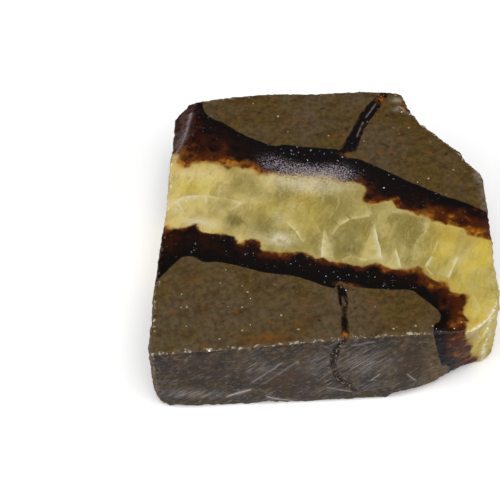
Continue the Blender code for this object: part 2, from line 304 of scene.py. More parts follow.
# Edges of crystals inside the calcite: their paler lines, with painted light reflected from the crystals'
# inner planes fading to one side.
CLEAVAGES = strokes(
    ((-0.4, -2.4), (-0.9, -7.3), 1.8, 0.03, 0.75, 0.9), ((-0.7, -4), (-0.9, -7.2), 0.3, 0.03, 0.4),
    ((6, -1.5), (6.7, -7.7), 0.03, 3.3, 0.82, 1), ((6.1, -2.4), (6.7, -7.7), 0.03, 0.22, 0.4),
    ((8.5, -5.4), (8.95, -8.8), 0.03, 2.1, 0.6, 0.9), ((8.5, -5.8), (8.9, -8.6), 0.03, 0.24, 0.4),
    ((16.2, -6.7), (14.5, -10.4), 0.04, 1.9, 0.62, 0.8), ((16.1, -6.9), (14.6, -10.2), 0.04, 0.3, 0.35),
    ((13.9, -4.2), (12.8, -6.7), 0.08, 0.1, 0.75), ((12.8, -6.7), (11.8, -8.4), 0.55, 0.05, 0.9),
    ((11.8, -8.3), (12.6, -9.7), 0.1, 0.08, 0.8), ((12.5, -2.7), (10.9, -4.8), 0.6, 0.08, 0.5),
    ((10.9, -4.8), (10.3, -7.6), 0.6, 0.08, 0.4), ((0.6, -3.6), (1.6, -2), 0.5, 0.08, 0.6),
    ((1.5, -2.1), (3, -1), 0.6, 0.08, 0.8), ((2.9, -1.05), (5.6, -0.5), 0.55, 0.08, 0.7),
    ((5.9, -0.5), (3.5, -7.2), 0.03, 1.5, -0.35, 0.3), ((-5.1, -1.4), (-3.9, -2.9), 0.5, 0.07, 0.75),
    ((-4, -2.8), (-3, -4.7), 0.45, 0.07, 0.85), ((-1.9, -0.4), (-0.7, -3.4), 0.06, 0.45, 0.4),
    ((-20.2, 0.8), (-19.3, 1.9), 0.05, 0.9, 0.85), ((-19.4, 1.8), (-18, 2.7), 0.05, 1, 0.9),
    ((-18.1, 2.65), (-15, 2.9), 0.05, 1.4, 0.8), ((-15.2, 2.9), (-13.4, 2.3), 0.05, 1.1, 0.7),
    ((-18.9, 2), (-18.2, 0.1), 0.07, 0.09, 0.55), ((-13.2, 2.5), (-10.6, 1.6), 0.05, 0.6, 0.5),
    ((-9.9, 1.9), (-12.4, 0.1), 0.05, 0.9, 0.55), ((-12.6, -0.5), (-11, -2.2), 1, 0.8, -0.4, 0.2),
    ((-11.6, -0.6), (-10, -2.6), 0.1, 0.35, 0.35), ((17.2, -12.6), (18.1, -14.4), 0.08, 0.5, 0.55),
    ((18.1, -14.3), (17.2, -16.3), 0.1, 0.7, 0.55), ((18.9, -5), (15.3, -8.4), 0.3, 0.6, 0.3),
    ((19.6, -8.6), (15.4, -9.2), 0.4, 0.5, 0.22), ((19.4, -10.8), (16.6, -12), 0.6, 0.5, 0.25),
    ((16.9, -2.7), (15.2, -2.1), 0.1, 0.12, 0.75), ((15.3, -2.2), (13.4, -1.6), 0.1, 0.12, 0.55),
    ((12.9, -1.4), (12.2, -3), 0.3, 0.1, 0.55), ((12.3, -0.9), (8.2, 0.9), 0.14, 0.3, 0.5),
    ((4.9, 1.4), (5.8, -0.4), 0.1, 0.4, 0.45), ((8.6, -1.2), (7.2, -5.2), 0.6, 0.06, 0.25, 0.4),
    ((1.6, -7.4), (2.9, -6.7), 0.06, 0.3, 0.5), ((2.9, -6.8), (4.8, -7.4), 0.06, 0.3, 0.45),
)
# Pale calcite chips and grains that stand out one by one, near white as painted glints: x, y, size across.
BRIGHT_GRAINS = (
    (14.7, 6.7, 0.42), (-2.6, 9.1, 0.5), (-2.2, 8.7, 0.3), (4.9, 7.1, 0.28), (7.5, 4.1, 0.34),
    (13.2, 9, 0.22), (11.9, 5, 0.3), (-8.5, 4, 0.34), (-8.1, 3.8, 0.22), (4.5, -3.5, 0.24),
    (-9.3, -15.7, 0.3), (-9.6, -17, 0.3), (-12.3, -14.3, 0.24), (-12, -14.9, 0.22), (-17.3, -10, 0.24),
    (4.8, 14.1, 0.34), (3.1, -17.3, 0.2), (5.5, -17.3, 0.18), (7.8, -17.3, 0.2), (-9.6, -13.2, 0.2),
    (10.2, 17.9, 0.4), (10.7, 17.3, 0.3), (15.9, -15.9, 0.4), (15.6, -16.6, 0.3), (16.1, -16.6, 0.24),
    (2, -12, 0.3), (-2.7, -8.9, 0.4), (-0.4, -9.9, 0.24), (9.2, 2.6, 0.26), (6.1, 9.6, 0.2),
    (-6.8, 9.2, 0.24), (17.6, 0.2, 0.24), (-14.4, -20.5, 0.45), (12.2, 4.1, 0.24), (-13.9, 12.6, 0.16),
    (-10.2, 10.4, 0.18), (5.6, -10, 0.24), (18.6, -17.4, 0.24), (12.5, -17.5, 0.22), (13.3, -17.5, 0.26),
    (14.6, -17.5, 0.22), (6.6, 17.2, 0.26), (6.2, 16.4, 0.2), (16.2, 0.6, 0.3), (14.3, 1.7, 0.2),
    (9.4, 4.4, 0.18), (17.7, -1.3, 0.26), (-1.8, -9.6, 0.22),
)


def smooth_line(points: Sequence[Point], step: float = 0.35) -> np.ndarray:
    """Draws a smooth line through named points.

    Args:
        points: the points, in order.
        step: about how far apart the samples are.

    Returns:
        The samples, one row each, moved so that the slab's middle is at the origin.
    """
    knots = np.array([points[0], *points, points[-1]], float)
    samples = []
    for before, start, end, after in zip(knots, knots[1:], knots[2:], knots[3:]):
        count = max(1, int(np.linalg.norm(end - start) / step))
        turn = np.arange(count)[:, None] / count
        samples.append(
            0.5 * (2 * start + (end - before) * turn
                   + (2 * before - 5 * start + 4 * end - after) * turn ** 2
                   + (3 * start - before - 3 * end + after) * turn ** 3)
        )
    samples.append(knots[-1:])
    return np.concatenate(samples) - OUTLINE_MIDDLE


def inside_distance(x: np.ndarray, y: np.ndarray, outline: np.ndarray) -> np.ndarray:
    """Measures how far each place is inside a closed outline.

    Args:
        x: places across.
        y: places along.
        outline: the outline's corners, one row each.

    Returns:
        The distance to the outline, below 0 outside it.
    """
    nearest = np.full(x.shape, 1e9)
    inside = np.zeros(x.shape, bool)
    for (ax, ay), (bx, by) in zip(outline, np.roll(outline, -1, axis=0)):
        dx, dy = bx - ax, by - ay
        length = dx * dx + dy * dy
        if length < 1e-12:
            continue
        share = np.clip(((x - ax) * dx + (y - ay) * dy) / length, 0, 1)
        nearest = np.minimum(nearest, (x - ax - share * dx) ** 2 + (y - ay - share * dy) ** 2)
        if dy:
            inside ^= ((ay > y) != (by > y)) & (x < ax + (y - ay) * dx / dy)
    return np.where(inside, 1.0, -1.0) * np.sqrt(nearest)


def ramp(values: np.ndarray, none: float, full: float) -> np.ndarray:
    """Goes evenly from 0 where a value is none to 1 where it is full, and stays level beyond."""
    return np.clip((values - none) / (full - none), 0, 1)


def patch_sum(spots: Sequence[Patch], x: np.ndarray, y: np.ndarray) -> np.ndarray:
    """Adds up patches at places given in the outlines' frame, and keeps the sum between 0 and 1."""
    return np.clip(sum(spot.weight(x, y) for spot in spots), 0, 1)


@dataclass(frozen=True)
class VeinMap:
    """Says for any point of the stone which part of the vein it lies in.

    dip_across and dip_along are how far the vein leans for each millimetre below the upper face, and
    wander is how much it waves about on its way down, in full beyond loosening from the upper face and
    the front. The depths say how far down the cracks on the upper face, the broken flake, the stains,
    the painted glare and the worn skin with its painted sheen go; the stains fade to deep_stain, and the
    skin is worn in full down to wear_full. The front face's own crack lies in front of front_edge, and
    nowhere stands for a place far from every crack. The two rims part at the line from divide_left to
    divide_right.
    """

    dip_across: float = 0.22
    dip_along: float = -0.10
    wander: float = 0.45
    loosening: float = 4.0
    crack_depth: float = 0.25
    flake_depth: float = 2.0
    stain_depth: float = 2.5
    deep_stain: float = 0.15
    painted_glare_depth: float = 0.4
    wear_full: float = 2.0
    wear_depth: float = 7.0
    front_edge: float = -16.0
    nowhere: float = -5.0
    divide_left: Point = (-20.0, 4.0)
    divide_right: Point = (20.0, -8.0)

    def plan_place(self, places: np.ndarray) -> tuple[np.ndarray, np.ndarray]:
        """Follows the vein from each point up to the upper face.

        Args:
            places: points of the stone, one row each.

        Returns:
            Where each point's stone meets the upper face, across and along.
        """
        x, y, z = places.T
        depth = np.clip(SLAB_TOP - z, 0, None)
        loose = self.wander * ramp(depth, 0, self.loosening)
        loose *= ramp(y, self.front_edge, self.front_edge + self.loosening)
        across = x - self.dip_across * depth
        along = y - self.dip_along * depth
        across += loose * (np.sin(0.55 * z + 0.7 * y) + 0.3 * np.sin(1.3 * z - 1.1 * y + 1))
        along += loose * (np.sin(0.50 * z + 0.6 * x + 2) + 0.3 * np.sin(1.2 * z + 1.3 * x))
        return across, along

    @staticmethod
    def along_rims(name: str, across: np.ndarray, upper: np.ndarray) -> np.ndarray:
        """Reads one value of the rim stations at each place.

        Args:
            name: the value's name in Station.
            across: places across.
            upper: how far each place belongs to the upper rim, 0 to 1.

        Returns:
            The value at each place.
        """
        values = {}
        for side, stations in RIM_STATIONS.items():
            known = [getattr(station, name) for station in stations]
            values[side] = np.interp(across, [station.across for station in stations], known)
        return values[Side.LOWER] * (1 - upper) + values[Side.UPPER] * upper

    def cracks(self, places: np.ndarray, across: np.ndarray, along: np.ndarray) -> np.ndarray:
        """Measures how far each point is inside a thin crack.

        Args:
            places: points of the stone, one row each.
            across: where each point's stone meets the upper face, across.
            along: the same, along.

        Returns:
            The distance to the crack's wall, below 0 outside it.
        """
        x, y, z = places.T
        depth = SLAB_TOP - z
        flake = inside_distance(x, y, smooth_line(FLAKE))
        upper = inside_distance(across, along, smooth_line(UPPER_CRACK))
        upper = np.maximum(upper, np.where(depth < self.flake_depth, flake, self.nowhere))
        sliver = inside_distance(x, y, smooth_line(CAUGHT_SLIVER))
        lower = np.minimum(inside_distance(x, y, smooth_line(LOWER_CRACK)), -sliver)
        wall = inside_distance(x, z, smooth_line(WALL_CRACK) + (0, OUTLINE_MIDDLE[1]))
        wall = np.where(y < self.front_edge, wall, self.nowhere)
        return np.maximum(upper, np.where(depth < self.crack_depth, lower, wall))

    def measure(self, places: np.ndarray) -> dict[str, np.ndarray]:
        """Works out every field that the stone's material reads.

        Args:
            places: points of the stone in millimetres, one row each.

        Returns:
            One value a point for each field's name.
        """
        across, along = self.plan_place(places)
        depth = SLAB_TOP - places[:, 2]
        outer, inner = [
            (smooth_line(upper), [FAR_CORNER], smooth_line(lower)[::-1])
            for upper, lower in ((UPPER_OUTER, LOWER_OUTER), (UPPER_INNER, LOWER_INNER))
        ]
        past_left = (12, 0)
        vein = np.concatenate([outer[0][:1] - past_left, *outer, outer[2][-1:] - past_left])
        vein_in = inside_distance(across, along, vein)
        crack = self.cracks(places, across, along)
        x, y = across + OUTLINE_MIDDLE[0], along + OUTLINE_MIDDLE[1]
        fields = {name: patch_sum(spots, x, y) for name, spots in SURFACE_PATCHES.items()}
        for name, spots in FRONT_PATCHES.items():
            fields[name] = patch_sum(spots, places[:, 0] + OUTLINE_MIDDLE[0], places[:, 2])
        calcite = np.array(CALCITE_STATIONS, float).T
        shallow = np.maximum(ramp(depth, self.stain_depth, 0), self.deep_stain)
        fields["gold"] += np.interp(x, *calcite[::2])
        fields["pale"] = np.interp(x, *calcite[:2])
        fields["rust"] *= shallow
        fields["pit"] *= shallow
        fields["painted_glare_area"] *= ramp(depth, self.painted_glare_depth, 0)
        fields["wear"] *= ramp(depth, self.wear_depth, self.wear_full)
        fields["vein"] = np.maximum(vein_in, crack)
        fields["crack"] = crack - np.clip(vein_in, 0, 5)
        fields["core"] = inside_distance(across, along, np.concatenate(inner))
        middle = np.interp(x, *zip(self.divide_left, self.divide_right))
        upper = ramp(y - middle, -1, 1)
        for name in ("reach", "ember"):
            fields[name] = self.along_rims(name, x, upper)
        return fields


# Node building


class Signal:
    """A value in a node tree; a sum on it adds a Math node."""

    def __init__(self, graph: "Graph", socket: Socket) -> None:
        """Keeps the value's tree and socket."""
        self.graph = graph
        self.socket = socket

    def combine(self, operation: str, *others: Any) -> "Signal":
        """Works out one sum with this value first."""
        return self.graph.math(operation, self, *others)

    # at_least and at_most keep the larger and the smaller of two values; line(slope, start) multiplies by
    # the slope and adds the start.
    __add__ = partialmethod(combine, "ADD")
    __sub__ = partialmethod(combine, "SUBTRACT")
    __mul__ = partialmethod(combine, "MULTIPLY")
    __truediv__ = partialmethod(combine, "DIVIDE")
    at_least = partialmethod(combine, "MAXIMUM")
    at_most = partialmethod(combine, "MINIMUM")
    line = partialmethod(combine, "MULTIPLY_ADD")

    def __rsub__(self, number: float) -> "Signal":
        """Takes this value away from a number."""
        return self.graph.math("SUBTRACT", number, self)

    def ease(self, low: Any, high: Any, start: float = 0.0, end: float = 1.0) -> "Signal":
        """Turns smoothly from start, where the value is low, to end, where it is high."""
        inputs = dict(enumerate((self, low, high, start, end)))
        return self.graph.step("ShaderNodeMapRange", inputs, interpolation_type="SMOOTHSTEP", clamp=False)


@dataclass(frozen=True)
class Cloud:
    """Soft patches of noise.

    scale: lumps to the millimetre. detail: finer layers. low and high: where in the noise the patches
    begin and are full. least and most: how strong they are there.
    """

    scale: float
    detail: float
    low: float
    high: float
    least: float = 0.0
    most: float = 1.0


@dataclass(frozen=True)
class Dots:
    """Small separate dots.

    scale: places for a dot to the millimetre. size: a dot's size in such places. share: the share of
    places that have one. strength: how strong they are. shift: sets them apart from other dots.
    """

    scale: float
    size: float
    share: float
    strength: float
    shift: Triple = (0.0, 0.0, 0.0)


@dataclass(frozen=True)
class Scuffs:
    """Scuffs and scratches of one direction.

    turn: their turn in degrees. stretch: their lumps to the millimetre along each axis. low and high:
    where in the noise they begin and are full. gaps: how much of the face is free. strength: how strong.
    """

    turn: Triple
    stretch: Triple
    low: float
    high: float
    gaps: float
    strength: float


@dataclass(frozen=True)
class Border:
    """How a border runs: how far its lumps and its grain make it stray, and how soft it is."""

    lumps: float
    grain: float
    softness: float


@dataclass(frozen=True)
class Crystals:
    """One size of crystal: how many to the millimetre, how strongly they show, their turn and length."""

    scale: float
    depth: float
    turn: Triple
    stretch: Triple


def socket_type(value: Any) -> str:
    """Names the socket type that fits a value."""
    kinds = {tuple: "Vector", int: "Int", float: "Float"}
    return f"NodeSocket{kinds[type(value)]}"


class Graph:
    """A node tree with short calls for the nodes that are used most."""

    noise_roughness = 0.6
    nodes_in_row = 40

    def __init__(self, tree: bpy.types.NodeTree) -> None:
        """Keeps the tree."""
        self.tree = tree

    def put(self, socket: Socket, value: Any) -> None:
        """Links a socket to a value that the tree works out, or sets it.

        Args:
            socket: the input.
            value: a signal, a number, a vector, a colour or a material.
        """
        if isinstance(value, Signal):
            self.tree.links.new(value.socket, socket)
        elif socket.type == "RGBA":
            socket.default_value = (*value, 1)
        else:
            socket.default_value = value

    def add(self, kind: str, inputs: dict[Any, Any] | None = None, **settings: Any) -> bpy.types.Node:
        """Adds one node.

        Args:
            kind: the node's type.
            inputs: its inputs by name or number.
            settings: properties of the node to set.

        Returns:
            The node.
        """
        node = self.tree.nodes.new(kind)
        row, column = divmod(len(self.tree.nodes), self.nodes_in_row)
        node.location = (180 * column, -220 * row)
        for name, value in settings.items():
            setattr(node, name, value)
        for name, value in (inputs or {}).items():
            self.put(node.inputs[name], value)
        return node

    def step(self, kind: str, inputs: dict[Any, Any], output: Any = 0, **settings: Any) -> Signal:
        """Adds one node and hands on one of its outputs."""
        return Signal(self, self.add(kind, inputs, **settings).outputs[output])

    def math(self, operation: str, *values: Any) -> Signal:
        """Works out one sum."""
        return self.step("ShaderNodeMath", dict(enumerate(values)), operation=operation)

    def vector(self, operation: str, *values: Any) -> Signal:
        """Works out one vector sum.

        Args:
            operation: the Vector Math node's operation.
            values: its inputs; SCALE takes a vector and a number.

        Returns:
            A vector, or a number from LENGTH and DOT_PRODUCT.
        """
        places = (0, 3) if operation == "SCALE" else (0, 1)
        output = 1 if operation in ("LENGTH", "DOT_PRODUCT") else 0
        return self.step("ShaderNodeVectorMath", dict(zip(places, values)), output, operation=operation)

    def mix(self, share: Any, first: Any, second: Any, blend: str = "MIX") -> Signal:
        """Mixes two colours by how much of the second one comes through."""
        inputs = {0: share, 6: first, 7: second}
        return self.step("ShaderNodeMix", inputs, 2, data_type="RGBA", blend_type=blend)

    def blend(self, share: Any, first: Any, second: Any) -> Signal:
        """Mixes two numbers."""
        return self.step("ShaderNodeMix", {0: share, 2: first, 3: second}, data_type="FLOAT")

    def field(self, name: str) -> Signal:
        """Reads one of the stone's own fields."""
        return self.step("ShaderNodeAttribute", {}, "Fac", attribute_name=name)

    def noise(self, place: Any, scale: float, detail: float = 2.0, output: str = "Fac") -> Signal:
        """Reads a noise around 0.5 with so many lumps to the millimetre; Color gives three values."""
        inputs = {"Vector": place, "Scale": scale, "Detail": detail, "Roughness": self.noise_roughness}
        return self.step("ShaderNodeTexNoise", inputs, output)

    def cells(self, place: Any, scale: Any, output: str = "Distance") -> Signal:
        """Reads a cell pattern with so many cells to the millimetre."""
        return self.step("ShaderNodeTexVoronoi", {"Vector": place, "Scale": scale}, output)

    def cloud(self, place: Any, cloud: Cloud) -> Signal:
        """Reads soft patches of noise at a place."""
        noise = self.noise(place, cloud.scale, cloud.detail)
        return noise.ease(cloud.low, cloud.high, cloud.least, cloud.most)

    def turned(self, place: Any, turn: Triple, stretch: Triple) -> Signal:
        """Turns a place by degrees, and makes a pattern there finer by the stretch along each axis."""
        inputs = {"Vector": place, "Rotation": [math.radians(angle) for angle in turn],
                  "Scale": [1 / share for share in stretch]}
        return self.step("ShaderNodeMapping", inputs, vector_type="TEXTURE")

    def group(self, tree: bpy.types.NodeTree, **values: Any) -> Signal:
        """Places a node group with its inputs by name, and hands on its mask."""
        return self.step("ShaderNodeGroup", values, node_tree=tree)


class Group(Graph):
    """A shader node group with named inputs and one output, Mask."""

    def __init__(self, name: str, **inputs: Any) -> None:
        """Starts the group.

        Args:
            name: the group's name.
            inputs: the value of each input by its name.
        """
        super().__init__(bpy.data.node_groups.new(name, "ShaderNodeTree"))
        for label, value in inputs.items():
            socket = self.tree.interface.new_socket(label, in_out="INPUT", socket_type=socket_type(value))
            socket.default_value = value
        self.tree.interface.new_socket("Mask", in_out="OUTPUT", socket_type="NodeSocketFloat")
        node = self.add("NodeGroupInput")
        self.given = [Signal(self, node.outputs[label]) for label in inputs]

    def end(self, mask: Signal) -> bpy.types.NodeTree:
        """Ends the group with its mask."""
        self.add("NodeGroupOutput", {"Mask": mask})
        return self.tree


class GroupMaker:
    """Builds the node groups that the finishes share, each one once."""

    def __init__(self) -> None:
        """Builds every group."""
        self.speckle = self.make_speckle()
        self.ragged = self.make_ragged()
        self.edge = self.make_edge()
        self.strokes = self.make_strokes()

    @staticmethod
    def make_speckle() -> bpy.types.NodeTree:
        """Makes small separate dots, of which Share says how many show and Size how wide they are.

        Returns:
            The group.
        """
        group = Group("Speckle", Place=(0, 0, 0), Scale=2.0, Size=0.3, Share=0.5)
        place, scale, size, share = group.given
        bend = group.vector("SCALE", group.noise(place, 5.0, 2.0, "Color"), 0.34)
        bent = group.vector("ADD", place, bend)
        cell = group.add("ShaderNodeTexVoronoi", {"Vector": bent, "Scale": scale})
        parts = group.add("ShaderNodeSeparateColor", {0: Signal(group, cell.outputs["Color"])})
        own_share, own_size = (Signal(group, parts.outputs[index]) for index in (0, 1))
        own = size * (own_size + 0.35)
        dot = Signal(group, cell.outputs["Distance"]).ease(own * 0.55, own, 1.0, 0.0)
        return group.end(dot * group.math("LESS_THAN", own_share, share))

    @staticmethod
    def make_ragged() -> bpy.types.NodeTree:
        """Makes a border crisp and lumpy: 1 where the distance, shaken by noise, is above 0.

        Returns:
            The group.
        """
        group = Group("Ragged Border", Place=(0, 0, 0), Distance=0.0, Lumps=0.3, Grain=0.1, Softness=0.08)
        place, distance, lumps, grain, softness = group.given
        coarse = group.noise(place, 0.9, 1.0) - 0.5
        fine = group.noise(place, 4.0, 2.0) - 0.5
        shaken = coarse.line(lumps, fine.line(grain, distance))
        return group.end(shaken.ease(softness * -1.0, softness))

    @staticmethod
    def make_edge() -> bpy.types.NodeTree:
        """Makes the light of one stroke: crisp on its line, fading over Left and Right, a wedge with Taper.

        Returns:
            The group.
        """
        group = Group("Crystal Edge", Place=(0, 0, 0), Start=(0, 0, 0), End=(1, 0, 0), Left=0.1, Right=0.1,
                      Taper=0.0, Strength=1.0)
        place, start, end, left, right, taper, strength = group.given
        line = group.vector("SUBTRACT", end, start)
        length = group.vector("LENGTH", line)
        heading = group.vector("NORMALIZE", line)
        offset = group.vector("SUBTRACT", place, start)
        along = group.vector("DOT_PRODUCT", offset, heading)
        aside = group.vector("DOT_PRODUCT", offset, group.vector("CROSS_PRODUCT", (0, 0, 1), heading))
        share = along / length
        width = group.blend(taper, 1.0, share.at_least(0.05))
        away = (aside.at_least(0.0) / left + (aside * -1.0).at_least(0.0) / right) / width
        soft = group.math("EXPONENT", group.math("POWER", away, 1.3) * -1.0)
        filled = away.ease(1.03, 0.86) * away.line(-0.35, 0.85)
        fade = group.blend(taper * 1.2, soft, filled)
        window = share.ease(0.0, 0.12) * share.ease(1.0, 0.88)
        return group.end(fade * window * strength)

    @staticmethod
    def make_strokes() -> bpy.types.NodeTree:
        """Makes scuffs and scratches from noise on a place that was stretched along them.

        Returns:
            The group.
        """
        group = Group("Strokes", Place=(0, 0, 0), Low=0.55, High=0.7, Gaps=0.5)
        place, low, high, gaps = group.given
        stroke = group.noise(place, 1.0, 3.0).ease(low, high)
        elsewhere = group.vector("ADD", place, (13.7, 5.1, 9.3))
        return group.end(stroke * group.noise(elsewhere, 0.35, 1.0).ease(gaps, gaps + 0.12))


# Finishes


@dataclass(frozen=True)
class Mudstone:
    """The grey-brown matrix of the nodule."""

    olive: Colour = (0.075, 0.046, 0.011)
    grey: Colour = (0.078, 0.053, 0.025)
    brown: Colour = (0.054, 0.029, 0.009)
    rust: Colour = (0.135, 0.048, 0.009)
    # Pale specks in the matrix: partly real grains, partly painted glints.
    speck_and_glint: Colour = (0.42, 0.34, 0.22)
    pit: Colour = (0.020, 0.013, 0.007)
    rind: Colour = (0.150, 0.112, 0.070)
    wear_and_sheen: Colour = (0.26, 0.23, 0.19)
    # Chipped edges, with a painted highlight along them.
    chipped_and_highlight: Colour = (0.33, 0.29, 0.23)
    roughness: float = 0.50
    broken_roughness: float = 0.62
    drift_turn: Triple = (0, 0, 24)
    drift_stretch: Triple = (0.55, 1.5, 1.0)
    greying: Cloud = Cloud(0.11, 3, 0.38, 0.62)
    browning: Cloud = Cloud(0.50, 4, 0.50, 0.68, 0, 0.75)
    shading: Cloud = Cloud(1.7, 6, 0.28, 0.72, 0.62, 1.26)
    rusting: Cloud = Cloud(1.3, 3, 0.32, 0.60)
    pitting: Cloud = Cloud(2.4, 3, 0.30, 0.50)
    dusting: Cloud = Cloud(1.6, 8, 0.44, 0.66, 0.05, 0.80)
    hollows: Cloud = Cloud(1.6, 8, 0.44, 0.30, 0, 0.60)
    rust_dots: Dots = Dots(0.80, 0.27, 0.42, 0.70)
    freckles: Dots = Dots(1.4, 0.30, 0.25, 0.45, (3, 1, 8))
    pits: Dots = Dots(0.70, 0.20, 0.35, 0.75, (7, 3, 1))
    specks_and_glints: Dots = Dots(1.5, 0.24, 0.10, 0.70, (1, 9, 4))


@dataclass(frozen=True)
class DarkRim:
    """The almost black calcite that lines the crack's walls."""

    black: Colour = (0.0034, 0.0026, 0.0024)
    ember: Colour = (0.030, 0.0065, 0.0022)
    glint: Colour = (0.30, 0.31, 0.34)
    # Painted glare on the rims: the lamp's lavender reflection.
    painted_glare: Colour = (0.270, 0.225, 0.250)
    # The rubbed rim, mostly on the bevel, where it is also a painted sheen.
    wear_and_sheen: Colour = (0.100, 0.052, 0.046)
    # Painted highlight on the bevel's ridge and glints along the upper crack.
    ridge_highlight: Colour = (0.225, 0.165, 0.17)
    # Chipped rim edges, with a painted highlight along them.
    chipped_and_highlight: Colour = (0.085, 0.060, 0.058)
    roughness: float = 0.28
    border: Border = Border(0.22, 0.12, 0.07)
    embers: Cloud = Cloud(0.7, 3, 0.30, 0.68)
    fine_glints: Dots = Dots(3.0, 0.36, 0.26, 0.85)
    coarse_glints: Dots = Dots(1.7, 0.24, 0.16, 1.0, (5, 2, 6))
    broken_glints: Cloud = Cloud(8.0, 1, 0.42, 0.56)


@dataclass(frozen=True)
class AmberRim:
    """The rim's edge towards the calcite, where light comes through."""

    deep: Colour = (0.048, 0.0105, 0.0025)
    bright: Colour = (0.360, 0.128, 0.010)
    crust: Colour = (0.085, 0.042, 0.016)
    chalk: Colour = (0.270, 0.200, 0.120)
    least_reach: float = 0.15
    lump_scale: float = 0.80
    lump_height: float = 2.2
    ball_scale: float = 0.62
    ball_height: float = -1.6
    smoke: Cloud = Cloud(0.9, 2, 0.38, 0.60, 0.12, 1)
    rusting: Cloud = Cloud(2.0, 2, 0.35, 0.60)
    crusting: Cloud = Cloud(1.2, 3, 0.45, 0.62)
    chalking: Cloud = Cloud(3.0, 3, 0.54, 0.64, 0, 0.8)


@dataclass(frozen=True)
class Calcite:
    """The pale yellow calcite that fills the vein.

    The grain and softness of the painted glare, and glow_softness, are what the painted glare (the lamp's
    reflection on the polished face) and a glowing rim add to its border, and wander is how far the
    crystals bend away from their lines.
    """

    olive: Colour = (0.140, 0.110, 0.026)
    honey: Colour = (0.235, 0.185, 0.048)
    pale: Colour = (0.590, 0.465, 0.165)
    gold: Colour = (0.500, 0.372, 0.050)
    lit: Colour = (0.510, 0.435, 0.165)
    white: Colour = (0.580, 0.520, 0.360)
    orange: Colour = (0.420, 0.240, 0.045)
    # Painted glare on the calcite: the lamp's pale reflection.
    painted_glare: Colour = (0.54, 0.47, 0.35)
    # Painted highlight on the rubbed corner edges.
    corner_highlight: Colour = (0.74, 0.69, 0.52)
    # Chipped calcite edges, with a painted highlight along them.
    chipped_and_highlight: Colour = (0.70, 0.64, 0.44)
    roughness: float = 0.30
    border: Border = Border(0.70, 0.25, 0.20)
    painted_glare_grain: float = 3.0
    painted_glare_softness: float = 0.9
    glow_softness: float = 0.30
    blades: Crystals = Crystals(0.26, 0.26, (0, 0, -14), (1.5, 0.60, 0.6))
    blocks: Crystals = Crystals(0.50, 0.60, (0, 0, 0), (1, 1, 0.45))
    shards: Crystals = Crystals(0.60, 0.14, (20, 10, 38), (1.1, 0.8, 0.7))
    fibres: Crystals = Crystals(1.0, 0.38, (0, 0, -18), (2.6, 0.45, 0.6))
    # Speckles of grain in the calcite, which in the glare area are the painted glare's sparkle.
    grain_and_sparkle_scale: float = 3.4
    grain_and_sparkle_depth: float = 0.55
    wander: float = 2.2
    veil: Cloud = Cloud(0.32, 6, 0.50, 0.74, 0, 0.24)
    milk: Cloud = Cloud(0.9, 3, 0.25, 0.60)
    patchy_light: Cloud = Cloud(0.9, 4, 0.22, 0.62, 0.55, 1.1)


@dataclass(frozen=True)
class SawnFace:
    """The scuffed face that the saw left."""

    scuff: Colour = (0.410, 0.375, 0.370)
    film: Colour = (0.025, 0.0195, 0.0155)
    stain: Colour = (0.047, 0.025, 0.013)
    dust: Colour = (0.150, 0.130, 0.117)
    grime: Colour = (0.018, 0.013, 0.010)
    roughness: float = 0.66
    filming: Cloud = Cloud(0.45, 5, 0.36, 0.60, 0.35, 1)
    dusting: Cloud = Cloud(1.5, 7, 0.50, 0.72, 0, 0.55)
    grimy: Cloud = Cloud(1.5, 7, 0.50, 0.30, 0, 0.60)
    staining: Cloud = Cloud(0.8, 5, 0.36, 0.56)
    rubbing: Cloud = Cloud(0.9, 8, 0.42, 0.66)
    slanted: Scuffs = Scuffs((0, -38, 0), (0.50, 1, 4.5), 0.56, 0.70, 0.46, 0.30)
    fine: Scuffs = Scuffs((0, -44, 0), (0.45, 1, 9), 0.60, 0.70, 0.47, 1.0)
    level: Scuffs = Scuffs((0, 6, 0), (0.35, 1, 2.8), 0.56, 0.72, 0.50, 0.26)


@dataclass(frozen=True)
class WearAndHighlights:
    """How the rubbed skin with its painted sheen, and the painted highlights and glints on ridges, the
    upper crack and corners, break up.
    """

    rubbing: Cloud = Cloud(1.6, 4, 0.30, 0.62)
    ridge_highlights: Cloud = Cloud(1.8, 3, 0.30, 0.52)
    corners: Cloud = Cloud(1.5, 4, 0.36, 0.62)


@dataclass(frozen=True)
class GrainFinish:
    """Small grains and chips of pale calcite, near white as painted glints."""

    # Near white: partly the calcite's own paleness, partly a painted glint.
    colour: Colour = (0.86, 0.85, 0.80)
    roughness: float = 0.30


